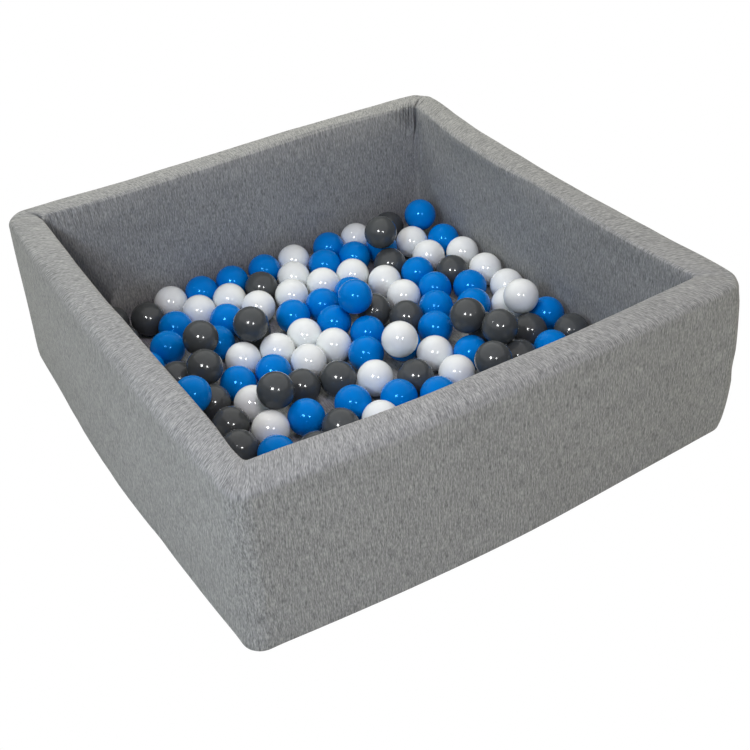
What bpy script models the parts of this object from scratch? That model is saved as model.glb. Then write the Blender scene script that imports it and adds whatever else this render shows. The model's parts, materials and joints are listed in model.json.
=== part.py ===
"""A square foam ball pit with a sewn jersey cover, a zip under its floor and loose plastic balls.

Metres, +Z up. The origin is the middle of the underside. The front wall faces -Y.
"""

import math

import bmesh
import bpy
import numpy as np
from mathutils import Matrix, Vector

# Pit
PIT_WIDTH = 0.900
PIT_HEIGHT = 0.300
WALL = 0.055
FLOOR_HEIGHT = 0.030
CLOTH = 0.0015
SEAT_GAP = 0.0003

# Form of the soft walls
CORNER_RADIUS = 0.030
INNER_CORNER_RADIUS = 0.009
OUTER_RIM_RADIUS = 0.014
INNER_RIM_RADIUS = 0.007
RIM_CROWN = 0.002
FRONT_FOOT_BOW = 0.021
SIDE_FOOT_BOW = 0.018
FRONT_RIM_BOW = 0.012
RIGHT_RIM_BOW = -0.018
BACK_RIM_BOW = 0.003
LEFT_RIM_BOW = 0.008
FRONT_RIGHT_BULGE = 0.009
BULGE_REACH = 0.090
SEAM_DIP = 0.002
SEAM_REACH = 0.012

# Balls
BALL_DIAMETER = 0.065
BALL_RADIUS = BALL_DIAMETER / 2
TOUCH_SHARE = 0.9955
CLEAR_SHARE = 1.005
NEIGHBOUR_SHARE = 1.15

# Zip in the underside
ZIP_FROM_WALL = 0.060
ZIP_END_MARGIN = 0.045
SLOT_WIDTH = 0.009
HEM_HEIGHT = 0.003
TAPE_WIDTH = 0.014
TAPE_THICKNESS = 0.0006
TAPE_PARTING = 0.0024
COIL_WIDTH = 0.003
COIL_HEIGHT = 0.002
COIL_INSET = 0.0002
STOP_LENGTH = 0.004
TAPE_END = 0.024
SLIDER_LENGTH = 0.011
SLIDER_WALL = 0.0008
SLIDER_NECK = 0.0012
LUG_WIDTH = 0.005
LUG_THICKNESS = 0.0007
ARCH_WIDTH = 0.001
ARCH_THICKNESS = 0.0008
PULL_THICKNESS = 0.001
PULL_LENGTH = 0.020
PULL_WIDTH = 0.006
PULL_WINDOW = 0.009
PULL_ARM = 0.0015
CUT_OVERRUN = 0.002

ARC_STEPS = 3
RIM_STEPS = 3
# Cuts along a wall between its round corners, closer where the bow turns faster.
STATION_SHARES = (0.0, 0.07, 0.16, 0.27, 0.40, 0.60, 0.73, 0.84, 0.93, 1.0)
FACE_ROW_SHARE = 0.38
NECK_SIDES = 6
LOOSE_SEGMENTS = 12
LOOSE_RINGS = 6

# Each wall's name, how far it bows out at its foot and its rim, and how far the corner where it
# starts bulges. The sleeve's seam is where the first wall starts and the last one ends.
WALLS = (
    ("back", FRONT_FOOT_BOW, BACK_RIM_BOW, 0.0),
    ("left", SIDE_FOOT_BOW, LEFT_RIM_BOW, 0.0),
    ("front", FRONT_FOOT_BOW, FRONT_RIM_BOW, 0.0),
    ("right", SIDE_FOOT_BOW, RIGHT_RIM_BOW, FRONT_RIGHT_BULGE),
)

# Balls on the floor, in groups that lie against each other. Each place is the ball's colour and
# its distance from the middle of the floor along X and Y, as a share of the ball's diameter.
FLOOR_BALL_SHARES = (
    (("D", 4.54, 5.55),),
    (("B", -2.13, 3.75), ("W", -2.60, 4.65), ("B", -3.53, 4.25), ("B", -4.14, 3.44), ("D", -1.74, 2.82)),
    (
        ("W", -1.57, 4.69), ("B", -2.08, 5.56), ("W", -3.09, 5.56), ("B", -4.01, 5.14),
        ("B", -1.05, 5.56), ("D", -0.49, 4.72), ("B", 0.05, 5.56), ("W", -1.02, 3.78),
    ),
    (
        ("W", 1.12, 3.83), ("W", 2.13, 3.76), ("W", 0.57, 4.68), ("W", 1.08, 5.56), ("B", 1.55, 2.89),
        ("B", 0.54, 2.87), ("B", 0.36, 1.86), ("B", -0.49, 2.83), ("W", 0.03, 3.80),
    ),
    (
        ("B", 3.69, 4.62), ("W", 3.32, 5.56), ("W", 4.66, 4.34), ("B", 5.56, 3.89), ("B", 2.67, 4.61),
        ("B", 2.31, 5.56), ("B", 1.67, 4.75), ("W", 5.56, 2.88), ("B", 4.60, 3.32),
    ),
    (
        ("W", -5.00, 2.86), ("W", -5.56, 3.70), ("D", -5.03, 4.56), ("D", -4.93, 5.56),
        ("B", -4.48, 1.95), ("D", -5.56, 1.95), ("W", -5.04, 1.02), ("B", -5.56, 0.07),
    ),
    (("D", -2.85, 2.89),),
    (
        ("W", 2.73, 1.89), ("W", 2.71, 2.90), ("D", 3.39, 3.65), ("B", 3.77, 2.72), ("B", 3.72, 1.71),
        ("B", 3.17, 0.85), ("D", 2.12, 0.92), ("D", 1.59, 1.78), ("B", 2.55, 0.00),
    ),
    (
        ("D", -4.20, -0.62), ("W", -5.18, -0.88), ("B", -5.56, -1.82), ("W", -3.31, -0.14),
        ("B", -3.24, 0.87), ("D", -4.45, -1.60), ("B", -3.75, -2.33), ("D", -2.83, -2.76),
        ("D", -4.18, 0.49),
    ),
    (("D", -0.92, -0.49), ("D", -1.90, -0.25), ("W", -0.07, -1.04)),
    (
        ("W", -1.19, 0.64), ("W", -0.20, 0.91), ("B", 0.32, 0.02), ("B", 0.86, 0.88),
        ("W", -0.68, 1.82), ("W", -1.69, 1.58), ("B", -2.24, 0.73), ("W", -2.72, 1.77),
    ),
    (("D", 3.66, -0.87),),
    (
        ("B", 4.62, 1.20), ("B", 4.12, 0.32), ("W", 4.99, -0.21), ("W", 5.55, 0.64),
        ("D", 4.68, 2.21), ("W", 5.56, 1.72),
    ),
    (
        ("W", -0.90, -2.60), ("B", -0.00, -2.09), ("D", 0.88, -1.57), ("B", -1.16, -1.60),
        ("D", -1.91, -2.29), ("B", -2.45, -1.43), ("W", -3.46, -1.35), ("B", 0.89, -2.63),
        ("D", 0.95, -3.69),
    ),
    (
        ("D", 2.57, -2.75), ("W", 1.81, -2.07), ("B", 2.70, -1.55), ("W", 1.82, -0.99),
        ("B", 2.03, -3.69), ("D", 2.57, -4.63), ("W", 3.12, -3.69), ("B", 1.37, -0.10),
    ),
    (("D", 4.63, -1.62), ("B", 5.56, -1.23), ("B", 4.62, -2.65), ("D", 5.56, -2.30), ("D", 3.62, -2.47)),
    (
        ("B", -5.02, -4.63), ("W", -5.56, -5.56), ("D", -5.56, -3.69), ("W", -5.02, -2.75),
        ("D", -4.48, -5.56), ("W", -3.94, -4.63), ("D", -4.48, -3.69),
    ),
    (
        ("B", -1.77, -4.63), ("W", -2.31, -5.56), ("W", -2.31, -3.69), ("B", -3.39, -5.56),
        ("D", -2.85, -4.63), ("B", -3.39, -3.69), ("D", -1.22, -3.69), ("B", -0.14, -3.69),
    ),
    (
        ("B", 0.40, -4.63), ("W", -0.14, -5.56), ("B", -1.22, -5.56), ("D", -0.68, -4.63),
        ("D", 0.95, -5.56), ("W", 1.49, -4.63), ("B", 2.03, -5.56),
    ),
    (
        ("W", 4.74, -4.63), ("B", 4.20, -5.56), ("D", 4.20, -3.69), ("W", 3.12, -5.56),
        ("B", 3.66, -4.63), ("D", 5.29, -5.56), ("B", 5.29, -3.69),
    ),
)

# Balls that lie loose on top, in the same shares.
LOOSE_BALL_SHARES = (
    ("D", -2.08, 2.21), ("D", -3.49, 2.48), ("D", -3.93, 1.34), ("D", -2.93, -0.80),
    ("D", 3.40, 4.16), ("B", 5.33, 4.89), ("B", 0.95, 1.64), ("W", 4.84, -0.93),
    ("D", 3.00, -0.93), ("D", 3.36, -1.92), ("W", 0.92, -0.71), ("D", 2.25, -3.12),
    ("B", -4.50, -4.30), ("W", -2.30, -4.36), ("D", 0.40, -5.20), ("B", 3.75, -5.20),
    ("W", 4.75, -4.05), ("D", 0.88, -4.20), ("W", -3.45, -4.90), ("B", -4.80, 0.20),
)


def material(name, rgb, roughness, metallic=0.0):
    made = bpy.data.materials.new(name)
    made.use_nodes = True
    shader = made.node_tree.nodes["Principled BSDF"]
    shader.inputs["Base Color"].default_value = (*rgb, 1.0)
    shader.inputs["Roughness"].default_value = roughness
    shader.inputs["Metallic"].default_value = metallic
    made.diffuse_color = (*rgb, 1.0)
    return made


def clear_scene():
    for thing in list(bpy.data.objects):
        bpy.data.objects.remove(thing, do_unlink=True)


def make_object(name, mesh, *materials, smooth_below=None):
    made = bpy.data.objects.new(name, mesh)
    for each in materials:
        mesh.materials.append(each)
    if smooth_below is not None:
        mesh.shade_smooth()
        mesh.set_sharp_from_angle(angle=smooth_below)
    bpy.context.scene.collection.objects.link(made)
    return made


def finish_mesh(name, shape):
    """A mesh from a closed bmesh, with its faces turned outwards."""
    bmesh.ops.recalc_face_normals(shape, faces=shape.faces)
    mesh = bpy.data.meshes.new(name)
    shape.to_mesh(mesh)
    shape.free()
    return mesh


def box_mesh(name, low, high):
    shape = bmesh.new()
    bmesh.ops.create_cube(shape, size=1.0)
    middle = (Vector(low) + Vector(high)) / 2
    sides = Vector(high) - Vector(low)
    for vert in shape.verts:
        vert.co = middle + Vector(a * b for a, b in zip(vert.co, sides))
    return finish_mesh(name, shape)


def box(name, low, high, finish):
    return make_object(name, box_mesh(name, low, high), finish)


def cutter(name, low, high):
    """A box that only cuts other pieces."""
    made = box(name, low, high, bpy.data.materials["cutter"])
    made.hide_render = True
    made.display_type = "WIRE"
    return made


def combine(target, other, operation):
    modifier = target.modifiers.new(operation.lower(), "BOOLEAN")
    modifier.operation = operation
    modifier.solver = "EXACT"
    modifier.object = other


def extrude_outline(name, points, start, end):
    """A closed prism: an outline of (y, z) points carried along X."""
    shape = bmesh.new()
    rings = [[shape.verts.new((x, y, z)) for y, z in points] for x in (start, end)]
    bridge(shape, rings)
    return finish_mesh(name, shape)


def bridge(shape, rings):
    """Joins closed rings of equal count one after the other, and caps the first and the last.

    Every twisted side is split from its lower near corner, so nested shapes keep their clearance.
    """
    for near, far in zip(rings, rings[1:]):
        for i in range(len(near)):
            j = (i + 1) % len(near)
            if near[i].co.z <= near[j].co.z:
                shape.faces.new((near[i], near[j], far[j]))
                shape.faces.new((near[i], far[j], far[i]))
            else:
                shape.faces.new((near[i], near[j], far[i]))
                shape.faces.new((near[j], far[j], far[i]))
    shape.faces.new(rings[0])
    shape.faces.new(reversed(rings[-1]))


# Soft walls


def wall_stations():
    """(outer x, outer depth, inner x, inner depth, share of the length) from mitre to mitre."""
    half = PIT_WIDTH / 2
    inner_half = half - WALL
    arc = []
    for i in range(ARC_STEPS):
        turn = math.radians(45) * (1 - i / ARC_STEPS)
        sideways = 1 - math.sin(turn)
        inwards = 1 - math.cos(turn)
        outer = (-half + CORNER_RADIUS * sideways, CORNER_RADIUS * inwards)
        inner = (-inner_half + INNER_CORNER_RADIUS * sideways, INNER_CORNER_RADIUS * inwards)
        arc.append((*outer, *inner))
    straight = []
    for share in STATION_SHARES:
        outer_x = (2 * share - 1) * (half - CORNER_RADIUS)
        inner_x = (2 * share - 1) * (inner_half - INNER_CORNER_RADIUS)
        straight.append((outer_x, 0.0, inner_x, 0.0))
    far_arc = [(-outer_x, outer, -inner_x, inner) for outer_x, outer, inner_x, inner in arc[::-1]]
    first = arc[0][0]
    return [(*point, (point[0] - first) / (-2 * first)) for point in arc + straight + far_arc]


def wall_point(quarter, station, depth, z, end_gap=0.0):
    """A point of a wall, from its depth behind the outer face, bowed out and turned to its side."""
    outer_x, outer_in, inner_x, inner_in, share = station
    across = depth / WALL
    x = outer_x + (inner_x - outer_x) * across
    inwards = outer_in + (WALL + inner_in - outer_in) * across
    x += end_gap * ((share == 0.0) - (share == 1.0))
    _, foot_bow, rim_bow, _ = WALLS[quarter]
    height = z / PIT_HEIGHT
    inwards -= 4 * share * (1 - share) * (foot_bow + (rim_bow - foot_bow) * height)
    from_end = abs(stations_end() - abs(outer_x))
    dip = SEAM_DIP * max(0.0, 1 - from_end / SEAM_REACH)
    corner = quarter if share < 0.5 else (quarter + 1) % len(WALLS)
    bulge = WALLS[corner][-1] * max(0.0, 1 - from_end / BULGE_REACH) ** 2 * (1 - across)
    bulge *= math.sin(math.pi * height**0.7) / math.sqrt(2)
    way = 1 if share < 0.5 else -1
    place = Vector((-x + way * bulge, PIT_WIDTH / 2 - inwards + bulge, z - dip * height))
    return Matrix.Rotation(math.radians(90) * quarter, 3, "Z") @ place


def stations_end():
    return PIT_WIDTH / 2 - CORNER_RADIUS * (1 - math.sin(math.radians(45)))


def wall_profile(inset):
    """(depth, height) points over a wall, from its outer foot over the rim to the floor inside."""
    shoulder = PIT_HEIGHT - RIM_CROWN
    foot = CLOTH + SEAT_GAP
    floor = FLOOR_HEIGHT + SEAT_GAP
    points = [(inset, foot)]
    points.append((inset, foot + (shoulder - OUTER_RIM_RADIUS - foot) * FACE_ROW_SHARE))
    points += rim_arc(OUTER_RIM_RADIUS, OUTER_RIM_RADIUS, shoulder, inset, 180, 90)
    points.append((WALL / 2, PIT_HEIGHT - inset))
    points += rim_arc(WALL - INNER_RIM_RADIUS, INNER_RIM_RADIUS, shoulder, inset, 90, 0)
    points.append((WALL - inset, floor + (shoulder - INNER_RIM_RADIUS - floor) * FACE_ROW_SHARE))
    points.append((WALL - inset, floor))
    return points


def rim_arc(centre, radius, shoulder, inset, start, end):
    points = []
    for i in range(RIM_STEPS + 1):
        turn = math.radians(start + (end - start) * i / RIM_STEPS)
        reach = radius - inset
        points.append((centre + reach * math.cos(turn), shoulder - radius + reach * math.sin(turn)))
    return points


def wall_rings(shape, quarter, profile, start_gap, end_gap):
    """One ring of corners for each station of a wall, from mitre to mitre."""
    rings = []
    for station in wall_stations():
        gap = start_gap if station[-1] < 0.5 else end_gap
        ring = [wall_point(quarter, station, depth, z, gap) for depth, z in profile]
        rings.append([shape.verts.new(point) for point in ring])
    return rings


def make_foam_walls(foam):
    inset = CLOTH + SEAT_GAP
    profile = wall_profile(inset) + [(WALL - inset, CLOTH + SEAT_GAP)]
    for quarter, (side, *_) in enumerate(WALLS):
        shape = bmesh.new()
        bridge(shape, wall_rings(shape, quarter, profile, SEAT_GAP, SEAT_GAP))
        mesh = finish_mesh(f"foam_{side}", shape)
        make_object(f"foam_{side}", mesh, foam, smooth_below=math.radians(40))


def make_sleeve(jersey):
    """One knitted band over all four walls, from its seam at the back right corner round to it."""
    profile = wall_profile(0.0) + wall_profile(CLOTH)[::-1]
    shape = bmesh.new()
    rings = []
    for quarter in range(len(WALLS)):
        start_gap = SEAT_GAP if quarter == 0 else 0.0
        end_gap = SEAT_GAP if quarter == len(WALLS) - 1 else 0.0
        wall = wall_rings(shape, quarter, profile, start_gap, end_gap)
        if rings:
            bmesh.ops.delete(shape, geom=wall.pop(0), context="VERTS")
        rings += wall
    bridge(shape, rings)
    mesh = finish_mesh("cover_sleeve", shape)
    make_object("cover_sleeve", mesh, jersey, smooth_below=math.radians(40))


def slab_mesh(name, depth, bottom, top):
    """A flat piece with the walls' bowed outline at the given depth behind their outer faces."""
    shape = bmesh.new()
    rings = []
    for z in (bottom, top):
        ring = []
        for quarter in range(len(WALLS)):
            for station in wall_stations()[:-1]:
                point = wall_point(quarter, station, depth, z)
                ring.append(shape.verts.new((point.x, point.y, z)))
        rings.append(ring)
    bridge(shape, rings)
    return finish_mesh(name, shape)


# Zip, laid out along X. Heights are measured up from the ground.


def zip_line():
    """The Y of the zip's middle line."""
    return PIT_WIDTH / 2 - WALL - ZIP_FROM_WALL


def zip_half():
    """Half the length of the zip's tapes, which end short of the walls."""
    return PIT_WIDTH / 2 - WALL - ZIP_END_MARGIN


def tape_bottom():
    return CLOTH + HEM_HEIGHT + SEAT_GAP


def coil_bottom():
    return tape_bottom() + TAPE_THICKNESS + SEAT_GAP


def coil_top():
    return coil_bottom() + COIL_HEIGHT


def coil_outer():
    return TAPE_PARTING / 2 + COIL_INSET + COIL_WIDTH


def slider_top():
    return coil_top() + SEAT_GAP + SLIDER_WALL


def lug_bottom():
    return tape_bottom() - SEAT_GAP - LUG_THICKNESS


def pull_axis():
    """The height of the pull's hinge, between the lug and the arch."""
    return lug_bottom() - SEAT_GAP - PULL_THICKNESS / 2


def slider_start():
    """The X of the slider's middle with the zip closed."""
    return zip_half() - STOP_LENGTH - SEAT_GAP - SLIDER_LENGTH / 2


def make_floor(foam, jersey, lining):
    mat = slab_mesh("foam_mat", WALL - CLOTH, CLOTH + SEAT_GAP, FLOOR_HEIGHT - CLOTH - SEAT_GAP)
    mat = make_object("foam_mat", mat, foam)
    middle = zip_line()
    room = SLOT_WIDTH / 2 + TAPE_WIDTH + CUT_OVERRUN
    reach = zip_half() + 2 * CUT_OVERRUN
    low = (-reach, middle - room, -CUT_OVERRUN)
    high = (reach, middle + room, slider_top() + CUT_OVERRUN)
    combine(mat, cutter("zip_groove_cutter", low, high), "DIFFERENCE")
    top = slab_mesh("cover_floor", WALL - CLOTH, FLOOR_HEIGHT - CLOTH, FLOOR_HEIGHT)
    make_object("cover_floor", top, jersey)
    under = make_object("cover_underside", slab_mesh("cover_underside", 0.0, 0.0, CLOTH), lining)
    edge = room - 2 * SEAT_GAP
    low = (-reach + SEAT_GAP, middle - edge, CLOTH / 2)
    hem = cutter("zip_hem", low, (reach - SEAT_GAP, middle + edge, CLOTH + HEM_HEIGHT))
    combine(under, hem, "UNION")
    low = (-zip_half(), middle - SLOT_WIDTH / 2, -CUT_OVERRUN)
    high = (zip_half(), middle + SLOT_WIDTH / 2, CLOTH + HEM_HEIGHT + CUT_OVERRUN)
    combine(under, cutter("zip_slot_cutter", low, high), "DIFFERENCE")


def make_zip_chain(tape, nylon, metal):
    half = zip_half()
    middle = zip_line()
    inner = TAPE_PARTING / 2
    for side, way in (("front", -1), ("back", 1)):
        edges = sorted((middle + way * inner, middle + way * (SLOT_WIDTH / 2 + TAPE_WIDTH - CUT_OVERRUN)))
        low = (-half, edges[0], tape_bottom())
        box(f"zip_tape_{side}", low, (half, edges[1], tape_bottom() + TAPE_THICKNESS), tape)
        edges = sorted((middle + way * (inner + COIL_INSET), middle + way * coil_outer()))
        low = (-half + TAPE_END + STOP_LENGTH + SEAT_GAP, edges[0], coil_bottom())
        high = (half - STOP_LENGTH - SEAT_GAP, edges[1], coil_top())
        box(f"zip_coil_{side}", low, high, nylon)
        low = (half - STOP_LENGTH, edges[0], coil_bottom())
        box(f"zip_top_stop_{side}", low, (half, edges[1], coil_top()), metal)
    low = (-half + TAPE_END, middle - coil_outer(), coil_bottom())
    high = (-half + TAPE_END + STOP_LENGTH, middle + coil_outer(), coil_top())
    box("zip_bottom_stop", low, high, metal)


def slider_outline():
    """(y, z) round the slider's section: a lug under the tapes, a neck and a channel over the coils."""
    wall_in = coil_outer() + SEAT_GAP
    wall_out = wall_in + SLIDER_WALL
    lug_top = lug_bottom() + LUG_THICKNESS
    half = [
        (LUG_WIDTH / 2, lug_bottom()),
        (LUG_WIDTH / 2, lug_top),
        (SLIDER_NECK / 2, lug_top),
        (SLIDER_NECK / 2, coil_top() + SEAT_GAP),
        (wall_in, coil_top() + SEAT_GAP),
        (wall_in, coil_bottom()),
        (wall_out, coil_bottom()),
        (wall_out, slider_top()),
    ]
    return half + [(-y, z) for y, z in reversed(half)]


def make_slider(metal):
    middle = zip_line()
    outline = [(middle + y, z) for y, z in slider_outline()]
    start = slider_start() - SLIDER_LENGTH / 2
    mesh = extrude_outline("zip_slider", outline, start, start + SLIDER_LENGTH)
    slider = make_object("zip_slider", mesh, metal)
    arch_low = pull_axis() - PULL_THICKNESS / 2 - SEAT_GAP - ARCH_THICKNESS
    ends = (start + ARCH_THICKNESS, start + SLIDER_LENGTH - ARCH_THICKNESS)
    rise = lug_bottom() + LUG_THICKNESS / 2
    sill = arch_low + ARCH_THICKNESS
    outline = [
        (ends[0], rise), (ends[0], arch_low), (ends[1], arch_low), (ends[1], rise),
        (ends[1] - ARCH_THICKNESS, rise), (ends[1] - ARCH_THICKNESS, sill),
        (ends[0] + ARCH_THICKNESS, sill), (ends[0] + ARCH_THICKNESS, rise),
    ]
    shape = bmesh.new()
    rings = []
    for y in (middle - ARCH_WIDTH / 2, middle + ARCH_WIDTH / 2):
        rings.append([shape.verts.new((x, y, z)) for x, z in outline])
    bridge(shape, rings)
    arch = make_object("zip_arch", finish_mesh("zip_arch", shape), metal)
    arch.hide_render = True
    arch.display_type = "WIRE"
    combine(slider, arch, "UNION")


def make_pull(metal):
    """A flat tab with a window, hung by its end bar between the slider's lug and arch."""
    middle = zip_line()
    axis = slider_start()
    front = axis + PULL_THICKNESS / 2
    low = pull_axis() - PULL_THICKNESS / 2
    plate = box_mesh(
        "zip_pull",
        (front - PULL_LENGTH, middle - PULL_WIDTH / 2, low),
        (front, middle + PULL_WIDTH / 2, low + PULL_THICKNESS),
    )
    hinge = Vector((axis, middle, pull_axis()))
    plate.transform(Matrix.Translation(-hinge))
    pull = make_object("zip_pull", plate, metal)
    pull.location = hinge
    sill = front - PULL_THICKNESS
    window_low = (sill - PULL_WINDOW, middle - PULL_WIDTH / 2 + PULL_ARM, low - CUT_OVERRUN)
    window_high = (sill, middle + PULL_WIDTH / 2 - PULL_ARM, low + PULL_THICKNESS + CUT_OVERRUN)
    combine(pull, cutter("pull_window_cutter", window_low, window_high), "DIFFERENCE")
    rounding = pull.modifiers.new("rounding", "BEVEL")
    rounding.width = PULL_THICKNESS / 4
    rounding.segments = 1
    rounding.limit_method = "ANGLE"


# Balls


def fits(place):
    """Whether a ball at this place, in ball diameters, clears the walls."""
    reach = (PIT_WIDTH / 2 - WALL - BALL_RADIUS - SEAT_GAP) / BALL_DIAMETER
    return max(abs(place[0]), abs(place[1])) <= reach


def lay_group(group):
    """The balls of one group as (colour, x, y, index of the ball it touches), in ball diameters.

    Each ball is slid up to the nearest one already laid until the two touch. One that meets a
    wall is left out, and so is one whose neighbour was left out.
    """
    laid = []
    for colour, x, y in group:
        place = np.array((x, y))
        touching = None
        if laid:
            apart = [np.linalg.norm(place - np.array(other[1:3])) for other in laid]
            touching = int(np.argmin(apart))
            if apart[touching] > NEIGHBOUR_SHARE:
                continue
            neighbour = np.array(laid[touching][1:3])
            place = neighbour + (place - neighbour) / apart[touching] * TOUCH_SHARE
        if fits(place):
            laid.append((colour, place[0], place[1], touching))
    return laid


def floor_groups():
    """The floor balls as lists of (colour, centre, index of the ball it touches)."""
    height = FLOOR_HEIGHT + SEAT_GAP + BALL_RADIUS
    groups = []
    for group in FLOOR_BALL_SHARES:
        balls = []
        for colour, x, y, touching in lay_group(group):
            balls.append((colour, Vector((x * BALL_DIAMETER, y * BALL_DIAMETER, height)), touching))
        groups.append(balls)
    return groups


def seat_on(place, centres):
    """The centre of a ball let down at a place until it meets a ball below or the floor."""
    apart = BALL_DIAMETER * CLEAR_SHARE
    height = FLOOR_HEIGHT + SEAT_GAP + BALL_RADIUS
    for centre in centres:
        across = math.hypot(place[0] - centre.x, place[1] - centre.y)
        if across < apart:
            height = max(height, centre.z + math.sqrt(apart**2 - across**2))
    return Vector((place[0], place[1], height))


def ball_directions():
    """Evenly spread unit directions: the corners and face middles of an icosahedron."""
    shape = bmesh.new()
    bmesh.ops.create_icosphere(shape, subdivisions=1, radius=1.0)
    spread = [vert.co.normalized() for vert in shape.verts]
    spread += [face.calc_center_median().normalized() for face in shape.faces]
    shape.free()
    return spread


def neck_ring(centre, other):
    """The corners of the small flat where two balls press together."""
    along = other - centre
    half = along.length / 2
    radius = math.sqrt(BALL_RADIUS**2 - half**2)
    side = Vector((0.0, 0.0, 1.0)).cross(along).normalized()
    up = along.normalized().cross(side)
    middle = (centre + other) / 2
    ring = []
    for i in range(NECK_SIDES):
        turn = 2 * math.pi * i / NECK_SIDES
        ring.append(middle + radius * (side * math.cos(turn) + up * math.sin(turn)))
    return ring


def add_ball(shape, centre, spread, rings, touches, slot):
    """Adds one ball with an open flat for each neck and a corner at each touch from above."""
    marks = [(sum(ring, Vector()) / len(ring) - centre).normalized() for ring in rings]
    marks += [(touch - centre).normalized() for touch in touches]
    crowded = math.cos(math.radians(14))
    keep = [way for way in spread if all(way.dot(mark) < crowded for mark in marks)]
    verts = [shape.verts.new(centre + way * BALL_RADIUS) for way in keep]
    for mark in marks[len(rings):]:
        verts.append(shape.verts.new(centre + mark * BALL_RADIUS))
    ring_sets = []
    for ring in rings:
        ring_verts = [shape.verts.new(point) for point in ring]
        ring_sets.append(set(ring_verts))
        verts += ring_verts
    before = set(shape.faces)
    bmesh.ops.convex_hull(shape, input=verts)
    hull = [face for face in shape.faces if face not in before]
    for face in hull:
        face.material_index = slot
    lids = [face for face in hull if any(set(face.verts) <= ring for ring in ring_sets)]
    bmesh.ops.delete(shape, geom=lids, context="FACES_ONLY")


def make_floor_balls(groups, loose, finishes):
    spread = ball_directions()
    slots = list(finishes)
    reach = BALL_DIAMETER * CLEAR_SHARE + SEAT_GAP
    for number, balls in enumerate(groups, 1):
        if not balls:
            continue
        shape = bmesh.new()
        for index, (colour, centre, touching) in enumerate(balls):
            others = [ball[1] for ball in balls[index + 1:] if ball[2] == index]
            rings = [neck_ring(centre, other) for other in others]
            if touching is not None:
                rings.append(neck_ring(balls[touching][1], centre))
            touches = [other for _, other in loose if (other - centre).length < reach]
            add_ball(shape, centre, spread, rings, touches, slots.index(colour))
        bmesh.ops.remove_doubles(shape, verts=shape.verts, dist=SEAT_GAP / 100)
        name = f"floor_balls_{number:02d}"
        make_object(name, finish_mesh(name, shape), *finishes.values(), smooth_below=math.radians(60))


def make_loose_balls(loose, centres, finishes):
    reach = BALL_DIAMETER * CLEAR_SHARE + SEAT_GAP
    for number, (colour, centre) in enumerate(loose, 1):
        shape = bmesh.new()
        bmesh.ops.create_uvsphere(
            shape, u_segments=LOOSE_SEGMENTS, v_segments=LOOSE_RINGS, radius=1.0
        )
        spread = [vert.co.normalized() for vert in shape.verts]
        shape.free()
        shape = bmesh.new()
        touches = [other - centre for other in centres if (other - centre).length < reach]
        add_ball(shape, Vector(), spread, [], touches, 0)
        name = f"loose_ball_{number:02d}"
        ball = make_object(name, finish_mesh(name, shape), finishes[colour], smooth_below=math.radians(60))
        ball.location = centre


def make_balls(finishes):
    groups = floor_groups()
    centres = [centre for balls in groups for _, centre, _ in balls]
    loose = []
    for colour, x, y in LOOSE_BALL_SHARES:
        if fits((x, y)):
            loose.append((colour, seat_on((x * BALL_DIAMETER, y * BALL_DIAMETER), centres)))
    make_floor_balls(groups, loose, finishes)
    make_loose_balls(loose, centres, finishes)
    print(len(centres), "balls on the floor and", len(loose), "loose on top")


def main():
    clear_scene()
    material("cutter", (0.8, 0.2, 0.2), 0.5)
    foam = material("polyurethane_foam", (0.85, 0.82, 0.70), 0.95)
    jersey = material("grey_melange_jersey", (0.29, 0.30, 0.30), 0.9)
    lining = material("underside_fabric", (0.20, 0.21, 0.21), 0.9)
    tape = material("woven_zip_tape", (0.30, 0.31, 0.31), 0.85)
    nylon = material("nylon_coil", (0.32, 0.33, 0.33), 0.45)
    zinc = material("zinc_alloy", (0.60, 0.60, 0.60), 0.35, 1.0)
    finishes = {
        "W": material("white_polyethylene", (0.80, 0.80, 0.84), 0.25),
        "B": material("blue_polyethylene", (0.0, 0.17, 0.56), 0.25),
        "D": material("dark_grey_polyethylene", (0.07, 0.07, 0.075), 0.25),
    }
    make_foam_walls(foam)
    make_sleeve(jersey)
    make_floor(foam, jersey, lining)
    make_zip_chain(tape, nylon, zinc)
    make_slider(zinc)
    make_pull(zinc)
    make_balls(finishes)


main()
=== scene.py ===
# %% [markdown]
# # A soft foam ball pit, dressed for its picture
#
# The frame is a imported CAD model: foam walls, a knitted cover, a zip and loose balls, all in
# metres. This lesson gives each visible surface its real form and finish. Cloth is rebuilt as
# cloth, the balls become smooth shells, and every material is made of nodes.

import json
import math

import bmesh
import bpy
import numpy as np
from mathutils import Matrix, Vector


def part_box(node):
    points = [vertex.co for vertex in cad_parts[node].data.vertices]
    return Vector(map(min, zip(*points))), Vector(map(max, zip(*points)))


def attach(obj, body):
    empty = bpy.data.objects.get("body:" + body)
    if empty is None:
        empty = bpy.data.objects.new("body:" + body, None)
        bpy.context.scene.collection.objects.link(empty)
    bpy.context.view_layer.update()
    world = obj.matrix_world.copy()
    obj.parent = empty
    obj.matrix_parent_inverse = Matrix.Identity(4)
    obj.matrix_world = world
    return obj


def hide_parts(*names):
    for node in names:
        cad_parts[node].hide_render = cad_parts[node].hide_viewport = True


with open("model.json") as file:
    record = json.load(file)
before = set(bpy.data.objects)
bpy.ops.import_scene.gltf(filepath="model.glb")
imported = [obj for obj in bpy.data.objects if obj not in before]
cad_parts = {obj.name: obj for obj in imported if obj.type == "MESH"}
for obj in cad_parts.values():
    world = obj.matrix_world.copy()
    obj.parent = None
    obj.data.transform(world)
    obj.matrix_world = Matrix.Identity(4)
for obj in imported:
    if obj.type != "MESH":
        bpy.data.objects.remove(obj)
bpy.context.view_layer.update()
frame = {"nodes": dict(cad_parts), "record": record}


def place_object(name, data):
    """A new object that holds the data and belongs to the scene."""
    made = bpy.data.objects.new(name, data)
    bpy.context.scene.collection.objects.link(made)
    return made


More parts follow.
